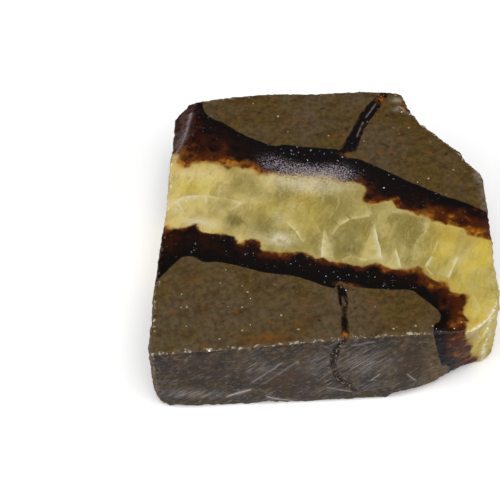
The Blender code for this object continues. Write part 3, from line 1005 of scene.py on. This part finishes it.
@dataclass
class StoneMaterial:
    """Dresses the stone: every finish in one material, sorted by the stone's own fields."""

    groups: GroupMaker
    mudstone: Mudstone = Mudstone()
    rim: DarkRim = DarkRim()
    amber: AmberRim = AmberRim()
    calcite: Calcite = Calcite()
    sawn: SawnFace = SawnFace()
    wear_and_highlights: WearAndHighlights = WearAndHighlights()
    gloss: float = 0.11
    bump_depth: float = 0.05
    bump_strength: float = 0.8

    def __post_init__(self) -> None:
        """Starts the material, and finds the surface's place in millimetres."""
        self.material = bpy.data.materials.new("septarian stone")
        self.material.use_nodes = True
        self.material.node_tree.nodes.clear()
        self.graph = Graph(self.material.node_tree)
        self.place = self.graph.vector("SCALE", self.graph.step("ShaderNodeTexCoord", {}, "Object"), 1 / MM)

    def cloud(self, cloud: Cloud) -> Signal:
        """Makes soft patches on the surface."""
        return self.graph.cloud(self.place, cloud)

    def dots(self, dots: Dots) -> Signal:
        """Scatters dots over the surface.

        Args:
            dots: the dots.

        Returns:
            A mask that is 0 between them.
        """
        place = self.graph.vector("ADD", self.place, dots.shift) if any(dots.shift) else self.place
        mask = self.graph.group(self.groups.speckle, Place=place, Scale=dots.scale, Size=dots.size,
                                Share=dots.share)
        return mask * dots.strength

    def paint_mudstone(self) -> Signal:
        """Paints the matrix.

        Returns:
            Its colour.
        """
        graph, finish = self.graph, self.mudstone
        colour = graph.mix(self.cloud(finish.greying), finish.olive, finish.grey)
        drift = graph.turned(self.place, finish.drift_turn, finish.drift_stretch)
        colour = graph.mix(graph.cloud(drift, finish.browning), colour, finish.brown)
        shade = graph.step("ShaderNodeCombineColor", dict.fromkeys(range(3), self.cloud(finish.shading)))
        colour = graph.mix(1.0, colour, shade, "MULTIPLY")
        rust = graph.field("rust") * self.cloud(finish.rusting)
        rust = rust.at_least(self.dots(finish.rust_dots)).at_least(self.dots(finish.freckles))
        colour = graph.mix(rust, colour, finish.rust)
        pits = graph.field("pit") * self.cloud(finish.pitting)
        colour = graph.mix(pits.at_least(self.dots(finish.pits)), colour, finish.pit)
        # Pale specks: partly real grains, partly painted glints.
        return graph.mix(self.dots(finish.specks_and_glints), colour, finish.speck_and_glint)

    def paint_rim(self) -> Signal:
        """Paints the dark rims and their amber edge.

        Returns:
            Their colour.
        """
        graph, place, rim, amber = self.graph, self.place, self.rim, self.amber
        ember = graph.field("vein").ease(0.4, 2.6) * graph.field("ember") * self.cloud(rim.embers)
        colour = graph.mix(ember, rim.black, rim.ember)
        lumps = (graph.noise(place, amber.lump_scale) - 0.5) * amber.lump_height
        balls = (graph.cells(place, amber.ball_scale) - 0.45) * amber.ball_height
        reach = graph.field("reach").at_least(amber.least_reach)
        # The share is 0 where the calcite begins and 1 as far as the amber reaches.
        share = graph.field("core") * -1.0 / reach + (lumps + balls)
        colour = graph.mix(share.ease(1.25, 0.30), colour, amber.deep)
        glow = graph.field("glow") * (self.cloud(amber.smoke) * share.ease(1.5, 0.5))
        fringe = (share + lumps).ease(0.20, -0.60, 0.0, 0.40)
        colour = graph.mix(glow.at_least(fringe), colour, amber.bright)
        colour = graph.mix(graph.field("rust") * self.cloud(amber.rusting), colour, amber.bright)
        crack = graph.field("crack")
        split = crack.ease(0.0, 0.35, 0.75, 0.0) * crack.ease(-0.10, 0.0) * self.cloud(amber.crusting)
        colour = graph.mix(split, colour, amber.crust)
        chalk = crack.ease(0.0, 0.25) * graph.field("sawn") * self.cloud(amber.chalking)
        colour = graph.mix(chalk, colour, amber.chalk)
        ember = graph.field("ember")
        sparse = ember.line(-0.16, graph.noise(place, 0.45)).ease(0.40, 0.62)
        glints = (self.dots(rim.fine_glints) * sparse).at_least(
            self.dots(rim.coarse_glints) * ember.line(-0.7, 0.90))
        away = share.ease(0.6, 1.4, 0.35, 1.0) * self.cloud(rim.broken_glints)
        return graph.mix(glints * away, colour, rim.glint)

    def stroke_light(self, strokes_there: Sequence[Stroke], upright: bool = False) -> Signal:
        """Adds up the light of several strokes.

        Args:
            strokes_there: the strokes.
            upright: whether their pairs are x and height, not x and y.

        Returns:
            The summed light, below 0 where a crystal is darker.
        """
        graph = self.graph
        shake = graph.vector("SUBTRACT", graph.noise(self.place, 0.8, 2.0, "Color"), (0.5, 0.5, 0.5))
        bent = graph.vector("ADD", self.place, graph.vector("SCALE", shake, 0.30))
        if upright:
            parts = graph.add("ShaderNodeSeparateXYZ", {0: bent})
            across, height = (Signal(graph, parts.outputs[index]) for index in (0, 2))
            bent = graph.step("ShaderNodeCombineXYZ", {0: across, 1: height})
        flat = graph.vector("MULTIPLY", bent, (1, 1, 0))
        middle = (OUTLINE_MIDDLE[0], 0.0 if upright else OUTLINE_MIDDLE[1])
        total: Any = 0.0
        for stroke in strokes_there:
            ends = [(x - middle[0], y - middle[1], 0.0) for x, y in (stroke.start, stroke.end)]
            lit = graph.group(self.groups.edge, Place=flat, Start=ends[0], End=ends[1], Left=stroke.left,
                              Right=stroke.right, Taper=stroke.taper, Strength=stroke.strength)
            total = lit + total
        return total

    def add_facets(self, colour: Signal, place: Signal, crystals: Crystals) -> Signal:
        """Lays one size of crystal over the calcite, in lighter and darker tones.

        Args:
            colour: the colour so far.
            place: the surface's place.
            crystals: the crystals.

        Returns:
            The new colour.
        """
        graph = self.graph
        place = graph.turned(place, crystals.turn, crystals.stretch)
        tones = graph.add("ShaderNodeSeparateColor", {0: graph.cells(place, crystals.scale, "Color")})
        inner = graph.cells(place, crystals.scale).ease(0.80, 0.10, 0.20, 1.0)
        for index, tint in enumerate((self.calcite.lit, self.calcite.olive)):
            tone = Signal(graph, tones.outputs[index]).ease(0.45, 1.0, 0.0, 1.5 * crystals.depth)
            colour = graph.mix(tone * inner, colour, tint)
        return colour

    def paint_calcite(self) -> Signal:
        """Paints the calcite.

        Returns:
            Its colour.
        """
        graph, place, finish = self.graph, self.place, self.calcite
        wave = graph.noise(place, 0.30, 4.0) - 0.5
        colour = graph.mix(wave.line(1.8, graph.field("pale")).ease(0.0, 1.0), finish.honey, finish.pale)
        colour = graph.mix(wave.line(0.5, graph.field("gold")), colour, finish.gold)
        colour = graph.mix(graph.field("olive"), colour, finish.olive)
        drift = graph.vector("SUBTRACT", graph.noise(place, 0.35, 2.0, "Color"), (0.5, 0.5, 0.5))
        bent = graph.vector("ADD", place, graph.vector("SCALE", drift, finish.wander))
        colour = self.add_facets(colour, bent, finish.blades)
        colour = graph.mix(graph.field("broken"), colour, self.add_facets(colour, place, finish.blocks))
        colour = self.add_facets(colour, bent, finish.shards)
        crystals = finish.fibres
        fibres = graph.noise(graph.turned(bent, crystals.turn, crystals.stretch), crystals.scale, 4.0)
        colour = graph.mix(fibres.ease(0.52, 0.74, 0.0, crystals.depth), colour, finish.lit)
        colour = graph.mix(fibres.ease(0.48, 0.28, 0.0, crystals.depth), colour, finish.olive)
        colour = graph.mix(self.cloud(finish.veil), colour, finish.white)
        # Fine white and olive speckles: a grain all over the calcite, stronger in its milky patches, and in
        # the glare area the painted sparkle of the glare.
        grain_and_sparkle = graph.noise(place, finish.grain_and_sparkle_scale, 4.0)
        grain_and_sparkle_share = graph.field("painted_glare_area").at_least(graph.field("cloud")).line(1.2, 0.25).at_most(1.0)
        colour = graph.mix(grain_and_sparkle.ease(0.52, 0.72, 0.0, finish.grain_and_sparkle_depth) * grain_and_sparkle_share, colour, finish.white)
        colour = graph.mix(grain_and_sparkle.ease(0.48, 0.28, 0.0, finish.grain_and_sparkle_depth) * grain_and_sparkle_share, colour, finish.olive)
        colour = graph.mix(graph.field("orange") * 0.8, colour, finish.orange)
        colour = graph.mix(graph.field("cloud") * self.cloud(finish.milk), colour, finish.white)
        # The crystals' paler edges, with painted light reflected from their inner planes.
        light = self.stroke_light(CLEAVAGES)
        patchy = light * self.cloud(finish.patchy_light)
        colour = graph.mix(patchy.at_least(0.0).at_most(0.80), colour, finish.lit)
        colour = graph.mix(patchy.ease(0.50, 0.95, 0.0, 0.75), colour, finish.white)
        colour = graph.mix((light * -1.0).at_least(0.0).at_most(0.9), colour, finish.olive)
        near = graph.field("core").ease(0.9, 0.0) * graph.field("reach")
        return graph.mix(near * graph.field("painted_glare_area").line(-0.22, 0.22), colour, finish.orange)

    def sawn_marks(self) -> Signal:
        """Gathers the scuffs and scratches that the saw and handling left.

        Returns:
            How much of the surface they hide.
        """
        graph, finish = self.graph, self.sawn
        marks: Any = 0.0
        # The fine scuffs come last, because the rubbed places follow their direction.
        for scuffs in (finish.slanted, finish.level, finish.fine):
            place = graph.turned(self.place, scuffs.turn, scuffs.stretch)
            there = graph.group(self.groups.strokes, Place=place, Low=scuffs.low, High=scuffs.high,
                                Gaps=scuffs.gaps)
            marks = (there * scuffs.strength).at_least(marks)
        marks = marks.at_least(graph.field("front_pale") * graph.cloud(place, finish.rubbing))
        return marks.at_least(self.stroke_light(SCRATCHES, upright=True))

    def build(self) -> bpy.types.Material:
        """Builds the material.

        Returns:
            The material.
        """
        graph, place, mudstone, rim, calcite = self.graph, self.place, self.mudstone, self.rim, self.calcite
        ragged, border = self.groups.ragged, calcite.border
        in_vein = graph.group(ragged, Place=place, Distance=graph.field("vein"), Lumps=rim.border.lumps,
                              Grain=rim.border.grain, Softness=rim.border.softness)
        # Under the painted glare, the calcite's border is grainier and softer.
        painted_glare_area = graph.field("painted_glare_area")
        soft = graph.field("glow").line(calcite.glow_softness, border.softness)
        in_core = graph.group(ragged, Place=place, Distance=graph.field("core"), Lumps=border.lumps,
                              Grain=painted_glare_area.line(calcite.painted_glare_grain, border.grain),
                              Softness=painted_glare_area.line(calcite.painted_glare_softness, soft))
        sawn = graph.field("sawn")

        colour = self.paint_mudstone()
        colour = graph.mix(sawn * self.cloud(self.sawn.filming), colour, self.sawn.film)
        colour = graph.mix(sawn * self.cloud(self.sawn.dusting), colour, self.sawn.dust)
        colour = graph.mix(sawn * self.cloud(self.sawn.grimy), colour, self.sawn.grime)
        colour = graph.mix(graph.field("broken") * self.cloud(mudstone.dusting), colour, mudstone.rind)
        colour = graph.mix(graph.field("broken") * self.cloud(mudstone.hollows), colour, mudstone.pit)
        stain = graph.field("front_brown") * self.cloud(self.sawn.staining)
        colour = graph.mix(stain * sawn, colour, self.sawn.stain)
        colour = graph.mix(in_vein, colour, self.paint_rim())
        colour = graph.mix(in_core, colour, self.paint_calcite())

        marks = self.sawn_marks() * graph.blend(stain, 1.0, 0.40)
        shown = marks * sawn.line(0.75, 0.02) * graph.blend(in_vein, 1.0, 0.15)
        colour = graph.mix(shown, colour, self.sawn.scuff)
        # Rubbed corners and edges, which on the bevel are also a painted sheen.
        wear_and_sheen = graph.field("wear") * self.cloud(self.wear_and_highlights.rubbing) * (1.0 - in_core)
        colour = graph.mix(wear_and_sheen, colour, graph.mix(in_vein, mudstone.wear_and_sheen, rim.wear_and_sheen))
        # Painted highlights: the lit ridge of the bevel and glints along the upper crack.
        colour = graph.mix(self.stroke_light(RIDGE_HIGHLIGHTS) * self.cloud(self.wear_and_highlights.ridge_highlights), colour, rim.ridge_highlight)
        # Painted highlights on the rubbed corner edge and the broken flake, kept off the sawn face.
        corner_highlight = self.stroke_light(CORNER_HIGHLIGHTS) * self.cloud(self.wear_and_highlights.corners) * (1.0 - sawn)
        colour = graph.mix(corner_highlight, colour, calcite.corner_highlight)

        grit = graph.noise(place, 6.5)
        # Painted glare: the soft lamp's reflection with its sparkle on the polished upper face, lavender on
        # the rims and pale on the calcite.
        painted_glare = painted_glare_area.line(0.18, grit).ease(0.54, 0.80)
        painted_glare_colour = graph.mix(in_core, rim.painted_glare, calcite.painted_glare)
        painted_glare = painted_glare * in_core.line(-0.30, 0.95) * painted_glare_area.ease(0.03, 0.55)
        colour = graph.mix(painted_glare, colour, painted_glare_colour)
        # Pale broken edges: real chips, and a painted highlight along the edges as well.
        chips = (graph.field("edge") * graph.noise(place, 2.4, 4.0)).ease(0.47, 0.62)
        chipped_and_highlight = graph.mix(in_core, graph.mix(in_vein, mudstone.chipped_and_highlight, rim.chipped_and_highlight), calcite.chipped_and_highlight)
        colour = graph.mix(chips, colour, chipped_and_highlight)

        rough = graph.blend(in_vein, mudstone.roughness, rim.roughness)
        rough = graph.blend(in_core, rough, calcite.roughness)
        rough = graph.blend(sawn, rough, self.sawn.roughness)
        rough = graph.blend(graph.field("broken"), rough, mudstone.broken_roughness) + (grit - 0.5) * 0.3

        height = graph.noise(place, 3.5, 3.0) * graph.blend(in_core, 0.55, 0.18) + marks * (sawn * 0.8)
        height = height + graph.noise(place, 1.4, 4.0) * (graph.field("broken") * 3.4)
        relief = {"Strength": self.bump_strength, "Distance": self.bump_depth * MM, "Height": height}
        surface = {"Base Color": colour, "Roughness": rough, "Normal": graph.step("ShaderNodeBump", relief),
                   "Specular IOR Level": self.gloss}
        shader = graph.step("ShaderNodeBsdfPrincipled", surface)
        graph.add("ShaderNodeOutputMaterial", {"Surface": shader})
        return self.material


# Plain materials, objects and Geometry Nodes


def plain_material(name: str, colour: Colour, roughness: float) -> bpy.types.Material:
    """Builds a material of one colour.

    Args:
        name: the material's name.
        colour: its colour.
        roughness: its roughness.

    Returns:
        The material.
    """
    material = bpy.data.materials.new(name)
    material.use_nodes = True
    shader = material.node_tree.nodes["Principled BSDF"]
    shader.inputs["Base Color"].default_value = (*colour, 1)
    shader.inputs["Roughness"].default_value = roughness
    return material


def new_object(name: str, data: Any) -> bpy.types.Object:
    """Makes an object of a mesh, a light or a camera, and puts it in the scene."""
    made = bpy.data.objects.new(name, data)
    bpy.context.scene.collection.objects.link(made)
    return made


def fine_mesh(piece: bpy.types.Object, modifier: bpy.types.Modifier) -> bpy.types.Mesh:
    """Evaluates a piece's modifier.

    Args:
        piece: the piece.
        modifier: its only modifier, which is removed afterwards.

    Returns:
        The result as a plain mesh.
    """
    evaluated = piece.evaluated_get(bpy.context.evaluated_depsgraph_get())
    mesh = bpy.data.meshes.new_from_object(evaluated)
    piece.modifiers.remove(modifier)
    return mesh


class Recipe(Graph):
    """A Geometry Nodes tree with named inputs, and the modifier that runs it."""

    noise_roughness = 0.5

    def __init__(self, name: str, inputs: dict[str, Any]) -> None:
        """Starts the tree.

        Args:
            name: the tree's name.
            inputs: the value of each input by its name.
        """
        super().__init__(bpy.data.node_groups.new(name, "GeometryNodeTree"))
        new_socket = self.tree.interface.new_socket
        new_socket("Geometry", in_out="INPUT", socket_type="NodeSocketGeometry")
        self.values = []
        for label, value in inputs.items():
            socket = new_socket(label, in_out="INPUT", socket_type=socket_type(value))
            self.values.append((socket.identifier, value))
        new_socket("Geometry", in_out="OUTPUT", socket_type="NodeSocketGeometry")
        node = self.add("NodeGroupInput")
        self.given = {label: Signal(self, node.outputs[label]) for label in ("Geometry", *inputs)}

    def field(self, name: str) -> Signal:
        """Reads one of the mesh's own fields."""
        return self.step("GeometryNodeInputNamedAttribute", {"Name": name}, "Attribute", data_type="FLOAT")

    def noise(self, place: Any, scale: float, detail: float = 2.0, output: str = "Fac") -> Signal:
        """Reads a noise around 0."""
        return super().noise(place, scale, detail, output) - 0.5

    def run(self, geometry: Signal, material: bpy.types.Material, piece: bpy.types.Object,
            name: str) -> bpy.types.Object:
        """Ends the tree and runs it on a piece.

        Args:
            geometry: what the tree has made.
            material: the material that it gets.
            piece: the object whose mesh the tree starts from.
            name: the new object's name.

        Returns:
            A new object with the result as a plain mesh; the piece is gone.
        """
        real = self.step("GeometryNodeRealizeInstances", {0: geometry})
        dressed = self.step("GeometryNodeSetMaterial", {"Geometry": real, "Material": material})
        self.add("NodeGroupOutput", {0: dressed})
        modifier = piece.modifiers.new("recipe", "NODES")
        modifier.node_group = self.tree
        for identifier, value in self.values:
            modifier[identifier] = value
        bpy.context.view_layer.update()
        mesh = fine_mesh(piece, modifier)
        bpy.data.objects.remove(piece)
        mesh.name = name
        return new_object(name, mesh)


# The stone and its grains


@dataclass
class StoneSlab:
    """The slab itself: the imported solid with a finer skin, worn edges and its own fields.

    The depths are those of the relief: chips on edges, rough rind, saw marks, steps in the calcite's
    walls and waves in the ground faces. The sawn front face fades out from front_fade to front_end, on
    the right. A point that bulges from its neighbours by flat_bulge is still flat and by sharp_bulge is
    on an edge; edge_spread is what is left of an edge one point further. weld joins points that lie
    that close.
    """

    groups: GroupMaker
    weld: float = 0.002
    skin_step: float = 0.25
    chip_depth: float = 0.28
    rind_depth: float = 0.62
    saw_depth: float = 0.05
    step_depth: float = 0.30
    ground_depth: float = 0.02
    seed: float = 4.0
    front_fade: float = 11.3
    front_end: float = 12.8
    flat_bulge: float = 0.004
    sharp_bulge: float = 0.020
    edge_spread: float = 0.68

    def cut_blank(self) -> bpy.types.Object:
        """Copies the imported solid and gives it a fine, even skin.

        Returns:
            The copy, at the origin.
        """
        shape = bmesh.new()
        shape.from_mesh(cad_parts[NODE].data)
        bmesh.ops.remove_doubles(shape, verts=shape.verts, dist=self.weld * MM)
        mesh = bpy.data.meshes.new("blank")
        shape.to_mesh(mesh)
        shape.free()
        mesh.materials.clear()
        blank = new_object("blank", mesh)
        skin = blank.modifiers.new("skin", "REMESH")
        skin.mode = "VOXEL"
        skin.voxel_size = self.skin_step * MM
        skin.use_smooth_shade = True
        blank.data = fine_mesh(blank, skin)
        bpy.data.meshes.remove(mesh)
        return blank

    def edge_field(self, mesh: bpy.types.Mesh, places: np.ndarray, normals: np.ndarray) -> np.ndarray:
        """Finds the stone's outward edges.

        Args:
            mesh: the skin.
            places: its points in millimetres.
            normals: the points' normals.

        Returns:
            For each point, 1 on a sharp edge, falling to 0 about half a millimetre away.
        """
        edges = np.zeros(len(mesh.edges) * 2, np.int32)
        mesh.edges.foreach_get("vertices", edges)
        first, second = edges.reshape(-1, 2).T
        both_ways = ((first, second), (second, first))
        total = np.zeros_like(places)
        count = np.zeros(len(places))
        for here, there in both_ways:
            np.add.at(total, here, places[there])
            np.add.at(count, here, 1)
        bulge = np.einsum("ij,ij->i", normals, places - total / count[:, None])
        sharp = ramp(bulge, self.flat_bulge, self.sharp_bulge)
        for _ in range(3):
            spread = sharp.copy()
            for here, there in both_ways:
                np.maximum.at(spread, here, self.edge_spread * sharp[there])
            sharp = spread
        return sharp

    def measure_fields(self, blank: bpy.types.Object) -> None:
        """Stores every field that the material and the relief read on the skin's points.

        Args:
            blank: the stone with its fine skin.
        """
        mesh = blank.data
        places, normals = (np.zeros((len(mesh.vertices), 3)) for _ in range(2))
        mesh.vertices.foreach_get("co", places.ravel())
        mesh.vertices.foreach_get("normal", normals.ravel())
        places /= MM
        fields = VeinMap().measure(places)
        # Sawn is what faces the front; broken is every other side, more so the steeper it is.
        level = np.abs(normals[:, 2])
        front = ramp(-normals[:, 1], 0.75, 0.95) * ramp(places[:, 0], self.front_end, self.front_fade)
        fields["sawn"] = front * (level < 0.6)
        fields["broken"] = ramp(level, 0.85, 0.55) * (1 - fields["sawn"])
        fields["edge"] = self.edge_field(mesh, places, normals)
        for name, values in fields.items():
            attribute = mesh.attributes.new(name, "FLOAT", "POINT")
            attribute.data.foreach_set("value", values.astype(np.float32))

    def wear(self, blank: bpy.types.Object, material: bpy.types.Material) -> bpy.types.Object:
        """Wears the skin with chips, saw marks, rind and crystal steps.

        Args:
            blank: the stone with its fine skin and its fields.
            material: the stone's material.

        Returns:
            The worn stone, in place of the blank.
        """
        depths = {"Chip Depth": self.chip_depth, "Rind Depth": self.rind_depth, "Saw Depth": self.saw_depth,
                  "Ground Depth": self.ground_depth, "Step Depth": self.step_depth}
        inputs = {name: depth * MM for name, depth in depths.items()}
        recipe = Recipe("Stone Relief", {**inputs, "Seed": self.seed})
        given = recipe.given
        place = recipe.vector("MULTIPLY", recipe.step("GeometryNodeInputPosition", {}), (1 / MM,) * 3)
        shift = recipe.step("ShaderNodeCombineXYZ", dict.fromkeys(range(3), given["Seed"]))
        place = recipe.vector("ADD", place, shift)
        chips = recipe.field("edge") * recipe.noise(place, 0.85, 3.0).line(3.0, 0.15).at_least(0.0)
        rough = recipe.noise(place, 1.5, 4.0).line(0.8, recipe.noise(place, 0.45, 4.0))
        rind = recipe.field("broken") * rough
        steps = recipe.vector("DOT_PRODUCT", recipe.cells(place, 0.42, "Color"), (1.0, 0.0, 0.0))
        calcite = recipe.field("core").at_least(0.0).at_most(1.0)
        steps = steps * (calcite * recipe.field("broken"))
        saw = recipe.field("sawn") * recipe.noise(place, 0.8, 3.0)
        lift = saw.line(given["Saw Depth"], rind * given["Rind Depth"])
        lift = recipe.noise(place, 0.35, 2.0).line(given["Ground Depth"], lift)
        lift = lift - steps * given["Step Depth"] - chips * given["Chip Depth"]
        offset = recipe.vector("SCALE", recipe.step("GeometryNodeInputNormal", {}), lift)
        moved = recipe.step("GeometryNodeSetPosition", {"Geometry": given["Geometry"], "Offset": offset})
        return recipe.run(moved, material, blank, "septarian_stone")

    def build(self) -> bpy.types.Object:
        """Builds and dresses the slab.

        Returns:
            The finished stone.
        """
        blank = self.cut_blank()
        self.measure_fields(blank)
        stone = self.wear(blank, StoneMaterial(self.groups).build())
        LOG.info("stone: %d points, %d faces", len(stone.data.vertices), len(stone.data.polygons))
        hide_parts(NODE)
        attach(stone, BODY)
        return stone


@dataclass
class BrightGrains:
    """Grains of pale calcite that catch the light, sunk into the ground face; their near-white colour
    paints that glint.

    sink is the share of a grain's size that it sits below the face, and spread is a grain's size for
    each millimetre that its row in BRIGHT_GRAINS names. The squeezes are the flattest and the fullest
    shape of a grain along each axis.
    """

    sink: float = 0.32
    spread: float = 1.35
    seed: int = 7
    widest_turn: float = 3.1
    least_squeeze: Triple = (0.6, 0.35, 0.45)
    most_squeeze: Triple = (1.15, 0.8, 0.7)

    def seeds(self) -> bpy.types.Object:
        """Makes one loose point for each named grain, with its size as a field.

        Returns:
            The points' object.
        """
        mesh = bpy.data.meshes.new("grain seeds")
        points = [((x - OUTLINE_MIDDLE[0]) * MM, (y - OUTLINE_MIDDLE[1]) * MM, SLAB_TOP * MM)
                  for x, y, _ in BRIGHT_GRAINS]
        mesh.from_pydata(points, [], [])
        attribute = mesh.attributes.new("size", "FLOAT", "POINT")
        attribute.data.foreach_set("value", [self.spread * size * MM for _, _, size in BRIGHT_GRAINS])
        return new_object("grain seeds", mesh)

    def build(self) -> bpy.types.Object:
        """Sets a rough little grain on every seed, and dresses the grains.

        Returns:
            The finished grains.
        """
        finish = GrainFinish()
        recipe = Recipe("Bright Grains", {"Sink": self.sink, "Seed": self.seed})
        given = recipe.given
        ball = recipe.step("GeometryNodeMeshIcoSphere", {"Radius": 0.5, "Subdivisions": 1})
        turn, squeeze = (
            recipe.step("FunctionNodeRandomValue", {0: least, 1: most, "Seed": given["Seed"]},
                        data_type="FLOAT_VECTOR")
            for least, most in (((-self.widest_turn,) * 3, (self.widest_turn,) * 3),
                                (self.least_squeeze, self.most_squeeze))
        )
        size = recipe.vector("SCALE", squeeze, recipe.field("size"))
        points = recipe.step("GeometryNodeMeshToPoints", {"Mesh": given["Geometry"]})
        placed = recipe.step("GeometryNodeInstanceOnPoints", {"Points": points, "Instance": ball,
                                                              "Rotation": turn, "Scale": size})
        down = recipe.step("ShaderNodeCombineXYZ", {2: given["Sink"] * recipe.field("size") * -1.0})
        sunk = recipe.step("GeometryNodeTranslateInstances", {"Instances": placed, "Translation": down,
                                                              "Local Space": False})
        material = plain_material("bright grain", finish.colour, finish.roughness)
        grains = recipe.run(sunk, material, self.seeds(), "bright_grains")
        LOG.info("grains: %d of them, %d faces", len(BRIGHT_GRAINS), len(grains.data.polygons))
        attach(grains, BODY)
        return grains


# The studio


@dataclass(frozen=True)
class SoftLight:
    """One soft square light: its name, where it hangs and its side in metres, and its power in watts."""

    name: str
    place: Triple
    size: float
    power: float

    def hang(self) -> None:
        """Hangs the light so that it faces the stone."""
        light = bpy.data.lights.new(self.name, "AREA")
        light.shape = "SQUARE"
        light.size = self.size
        light.energy = self.power
        lamp = new_object(self.name, light)
        lamp.location = self.place
        lamp.rotation_euler = (-Vector(self.place)).to_track_quat("-Z", "Y").to_euler()


@dataclass
class Studio:
    """A pale floor, soft lights and the camera."""

    aim: Triple = (-9.523, 4.202, 0.0)
    distance: float = 185.0
    elevation: float = 53.23
    field_of_view: float = 20.93
    floor_size: float = 3000.0
    floor_colour: Colour = (0.97, 0.97, 0.97)
    floor_roughness: float = 0.9
    ambient: float = 0.06
    clip_start: float = 0.005
    lights: tuple[SoftLight, ...] = (
        SoftLight("overhead softbox", (0.0, -0.28, 0.78), 0.60, 6.6),
        SoftLight("left softbox", (-0.60, -0.20, 0.45), 0.55, 2.0),
        SoftLight("right softbox", (0.60, -0.25, 0.40), 0.50, 1.5),
        SoftLight("front softbox", (0.0, -0.65, 0.35), 0.50, 0.4),
        SoftLight("back glow", (0.035, 0.42, 0.50), 0.10, 0.03),
    )

    def build_floor(self) -> None:
        """Lays the floor that the stone rests on."""
        mesh = bpy.data.meshes.new("floor")
        half = self.floor_size / 2 * MM
        corners = [(-half, -half, 0), (half, -half, 0), (half, half, 0), (-half, half, 0)]
        mesh.from_pydata(corners, [], [(0, 1, 2, 3)])
        mesh.materials.append(plain_material("pale floor", self.floor_colour, self.floor_roughness))
        new_object("floor", mesh)

    def build_camera(self) -> None:
        """Places the camera at the photograph's angle."""
        data = bpy.data.cameras.new("camera")
        data.sensor_fit = "HORIZONTAL"
        data.angle = math.radians(self.field_of_view)
        data.clip_start = self.clip_start
        camera = new_object("camera", data)
        rise = math.radians(self.elevation)
        back = Vector((0, -math.cos(rise), math.sin(rise)))
        place = (Vector(self.aim) + back * self.distance) * MM
        camera.matrix_world = Matrix.Translation(place) @ back.to_track_quat("Z", "Y").to_matrix().to_4x4()
        bpy.context.scene.camera = camera

    def build(self) -> None:
        """Builds the floor, the camera and the lights."""
        self.build_floor()
        self.build_camera()
        for light in self.lights:
            light.hang()
        world = bpy.data.worlds.new("studio")
        world.use_nodes = True
        background = world.node_tree.nodes["Background"]
        background.inputs["Color"].default_value = (1, 1, 1, 1)
        background.inputs["Strength"].default_value = self.ambient
        scene = bpy.context.scene
        scene.world = world
        scene.view_settings.view_transform = "Standard"
        LOG.info("studio: floor, %d lights and the camera", len(self.lights))


def main() -> None:
    """Builds the stone, its grains and the studio."""
    logging.basicConfig(level=logging.INFO, format="%(message)s")
    StoneSlab(GroupMaker()).build()
    BrightGrains().build()
    Studio().build()


if __name__ == "__main__":
    main()
